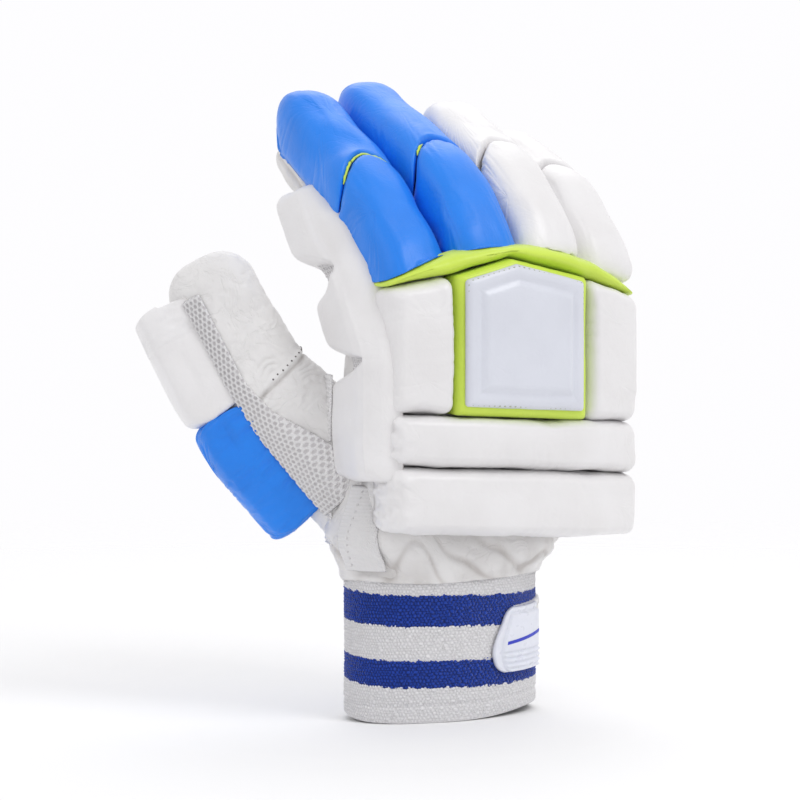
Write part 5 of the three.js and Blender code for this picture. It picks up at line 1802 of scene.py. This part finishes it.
@dataclass
class Strap:
    """Towelling-backed strap round the cuff and its raised plastic tab."""

    level: float = 33.0
    climb: float = 3.0
    half: float = 14.5
    start: float = -62.0
    end: float = 68.0
    tab_centre: float = -58.0
    tab_half: float = 21.6
    weave: float = 1.8

    def surface(self, angle: Array, v: Array, lift: Array) -> Array:
        """Returns: points round the cuff; v runs from the strap's lower edge to its upper one."""
        a = np.radians(angle)
        x = (HAND.cuff_width / 2 + lift) * np.cos(a)
        y = (HAND.cuff_depth / 2 + lift) * np.sin(a)
        z = self.level + self.climb * smooth((angle - self.start) / 80) + mix(-self.half, self.half, v)
        return stack(x, y, z)

    def build(self, shop: Workshop) -> None:
        """Makes the band, its edge stitches and the tab."""
        def band(u: Array, v: Array, lift: Array) -> Array:
            """Returns: points of the band, its far end rounded."""
            rounded = 6.0 * np.abs(2 * v - 1) ** 5
            return self.surface(mix(self.start, self.end - rounded, u), v, lift)

        def woven(x: Array, y: Array) -> tuple[Array, Array]:
            """Returns: lift of two raised edges and a fine cross weave."""
            edge = np.minimum(y, 2 * self.half - y)
            weave = np.sin(x * 2 * np.pi / self.weave) * np.sin(y * 2 * np.pi / self.weave)
            return 0.35 * bell(edge - 1.6, 0.9) + 0.08 * weave, 0 * x

        shop.fit(slab("wrist_strap", band, 96.0, 2 * self.half, -0.8, 1.7, woven, 0.6, 1.0), Tint.WHITE,
                 ["strap_band"])
        angle = np.linspace(self.start + 3, self.end - 3, 240)
        rows = []
        for v in (0.1, 0.9):
            path = self.surface(angle, np.full_like(angle, v), 1.1)
            rows.append((path, unit(path - self.surface(angle, np.full_like(angle, v), 0.0))))
        shop.fit(stitches("strap_stitches", rows, 2.2, 1.2, 0.6), Tint.WHITE, material=shop.palette.thread)
        self.tab(shop)

    def tab(self, shop: Workshop) -> None:
        """Makes the moulded tab: a rounded left end, a stepped panel and ridges along its lower part."""
        wide = 31.0
        tall = 2 * self.half

        def surface(u: Array, v: Array, lift: Array) -> Array:
            """Returns: points of the tab, its left end slanted."""
            corner = 0.24 * smooth((v - 0.25) / 0.75) + 0.10 * (1 - v) ** 3 + 0.13 * np.abs(2 * v - 1) ** 9
            share = u + corner * (1 - u) ** 2
            angle = self.tab_centre + mix(-self.tab_half, self.tab_half, share)
            return self.surface(angle, mix(0.02, 0.98, v), lift)

        def moulded(x: Array, y: Array) -> tuple[Array, Array]:
            """Returns: lift of the panel, the groove beside it and the ridges, and the groove's mask."""
            line = np.minimum(x - 4.2, tall - y - 3.0)
            panel = 0.8 * smooth(line / 0.7)
            ridges = 0.5 * np.sin(y * 2 * np.pi / 2.4) * smooth((10.5 - y) / 0.8) * smooth(line / 1.2)
            return panel + ridges - 0.45 * bell(line + 0.3, 0.6), 0.8 * bell(line + 0.3, 0.5)

        shop.fit(slab("strap_tab", surface, wide, tall, 0.8, 1.5, moulded, 0.4, 1.1), Tint.CLEAR,
                 ["strap_badge"])

        def stripe(u: Array, v: Array, lift: Array) -> Array:
            """Returns: points of the stripe over the tab's upper part."""
            return surface(mix(0.17, 0.985, u), mix(mix(0.42, 0.49, v), mix(0.52, 0.59, v), u), lift)

        shop.fit(slab("strap_tab_stripe", stripe, 26.0, 3.0, 2.2, 1.0, None, 0.5, 0.5), Tint.CLEAR,
                 material=shop.palette.ink)


@dataclass
class Studio:
    """Camera, floor and soft lights of the photograph."""

    azimuth: float = -30.0
    elevation: float = 3.0
    distance: float = 1200.0
    lens: float = 125.58
    target: tuple = (-11.76, 14.9, 133.98)

    def build(self) -> None:
        """Places the camera, a pale floor, three soft lights and a pale world."""
        target = (np.array(self.target) + SHIFT) * MM
        data = bpy.data.cameras.new("camera")
        data.lens = self.lens
        data.sensor_width = 36.0
        camera = bpy.data.objects.new("camera", data)
        self.aim(camera, target, (self.azimuth, self.elevation), self.distance * MM)
        bpy.context.scene.camera = camera
        self.floor()
        self.light("key", target, (20, 50), 1.5, 0.6, 5.6)
        self.light("side", target, (-85, 35), 1.6, 0.8, 1.5)
        self.light("rear", target, (150, 50), 1.6, 1.0, 4.0)
        world = bpy.data.worlds.new("studio")
        bpy.context.scene.world = world
        world.use_nodes = True
        sheet = NodeSheet(world.node_tree)
        place = sheet.add("TexCoord").outputs["Generated"]
        facing = sheet.add("VectorMath", {0: place, 1: (0.5, 0.86, -0.1)}, operation="DOT_PRODUCT")
        shade = world.node_tree.nodes["Background"]
        shade.inputs[0].default_value = (0.99, 0.985, 1.0, 1)
        strength = sheet.spread(facing.outputs["Value"], -0.1, 0.85, 0.78, 1.0)
        world.node_tree.links.new(strength, shade.inputs[1])
        bpy.context.scene.view_settings.view_transform = "Standard"

    @staticmethod
    def aim(thing: bpy.types.Object, target: Array, place: tuple[float, float], distance: float) -> None:
        """Puts a camera or a lamp in the scene, turned to a target.

        Args:
            thing: the camera or the lamp.
            target: what it faces, in metres.
            place: azimuth and elevation in degrees, azimuth 0 in front of the glove's back.
            distance: from the target, in metres.
        """
        a, e = math.radians(place[0]), math.radians(place[1])
        away = np.array([math.sin(a) * math.cos(e), -math.cos(a) * math.cos(e), math.sin(e)])
        bpy.context.scene.collection.objects.link(thing)
        thing.location = target + away * distance
        thing.rotation_euler = (math.radians(90) - e, 0.0, a)

    def floor(self) -> None:
        """Lays a plain pale disc at the cuff's rim, which fades into the background."""
        mesh = bpy.data.meshes.new("studio_floor")
        shape = bmesh.new()
        bmesh.ops.create_circle(shape, cap_ends=True, segments=96, radius=1.1)
        shape.to_mesh(mesh)
        shape.free()
        made, sheet, links, shader = new_material("studio_paper")
        place = sheet.add("TexCoord").outputs["Object"]
        cloud = sheet.add("TexNoise", {"Vector": place, "Scale": 2.0})
        links.new(sheet.blend(cloud.outputs["Fac"], (0.93, 0.93, 0.93, 1), (0.95, 0.95, 0.95, 1)),
                  shader.inputs["Base Color"])
        set_inputs(shader, Roughness=0.8)
        away = sheet.add("VectorMath", {0: place}, operation="LENGTH").outputs["Value"]
        clear = sheet.add("BsdfTransparent")
        fade = sheet.spread(away, 0.12, 0.9)
        both = sheet.add("MixShader", {0: fade, 1: shader.outputs[0], 2: clear.outputs[0]})
        links.new(both.outputs[0], made.node_tree.nodes["Material Output"].inputs["Surface"])
        mesh.materials.append(made)
        floor = bpy.data.objects.new("studio_floor", mesh)
        bpy.context.scene.collection.objects.link(floor)

    def light(self, name: str, target: Array, place: tuple[float, float], distance: float, size: float,
              watts: float) -> None:
        """Hangs a square area light, placed as aim() says.

        Args:
            name: the light's name.
            target: what it faces.
            place: azimuth and elevation.
            distance: from the target.
            size: of its side, in metres.
            watts: its power.
        """
        data = bpy.data.lights.new(name, "AREA")
        data.size = size
        data.energy = watts
        lamp = bpy.data.objects.new(name, data)
        self.aim(lamp, target, place, distance)


def main() -> None:
    """Builds every part of the glove, stuffs its pads and builds the studio."""
    logging.basicConfig(level=logging.INFO, format="%(message)s")
    shop = Workshop(Palette())
    assemblies = (WristCuff(), LeatherHand(), BackPads(), FingerRolls(), ThumbPads(), SidePads(), Insets(),
                  Strap())
    for assembly in assemblies:
        assembly.build(shop)
        LOG.info("%s done, %d pieces so far", type(assembly).__name__, len(shop.pieces))
    stuffing = Stuffing()
    for pad in shop.pads:
        if "badge" not in pad.name:
            stuffing.prepare(pad)
    stuffing.run()
    Studio().build()


if __name__ == "__main__":
    main()
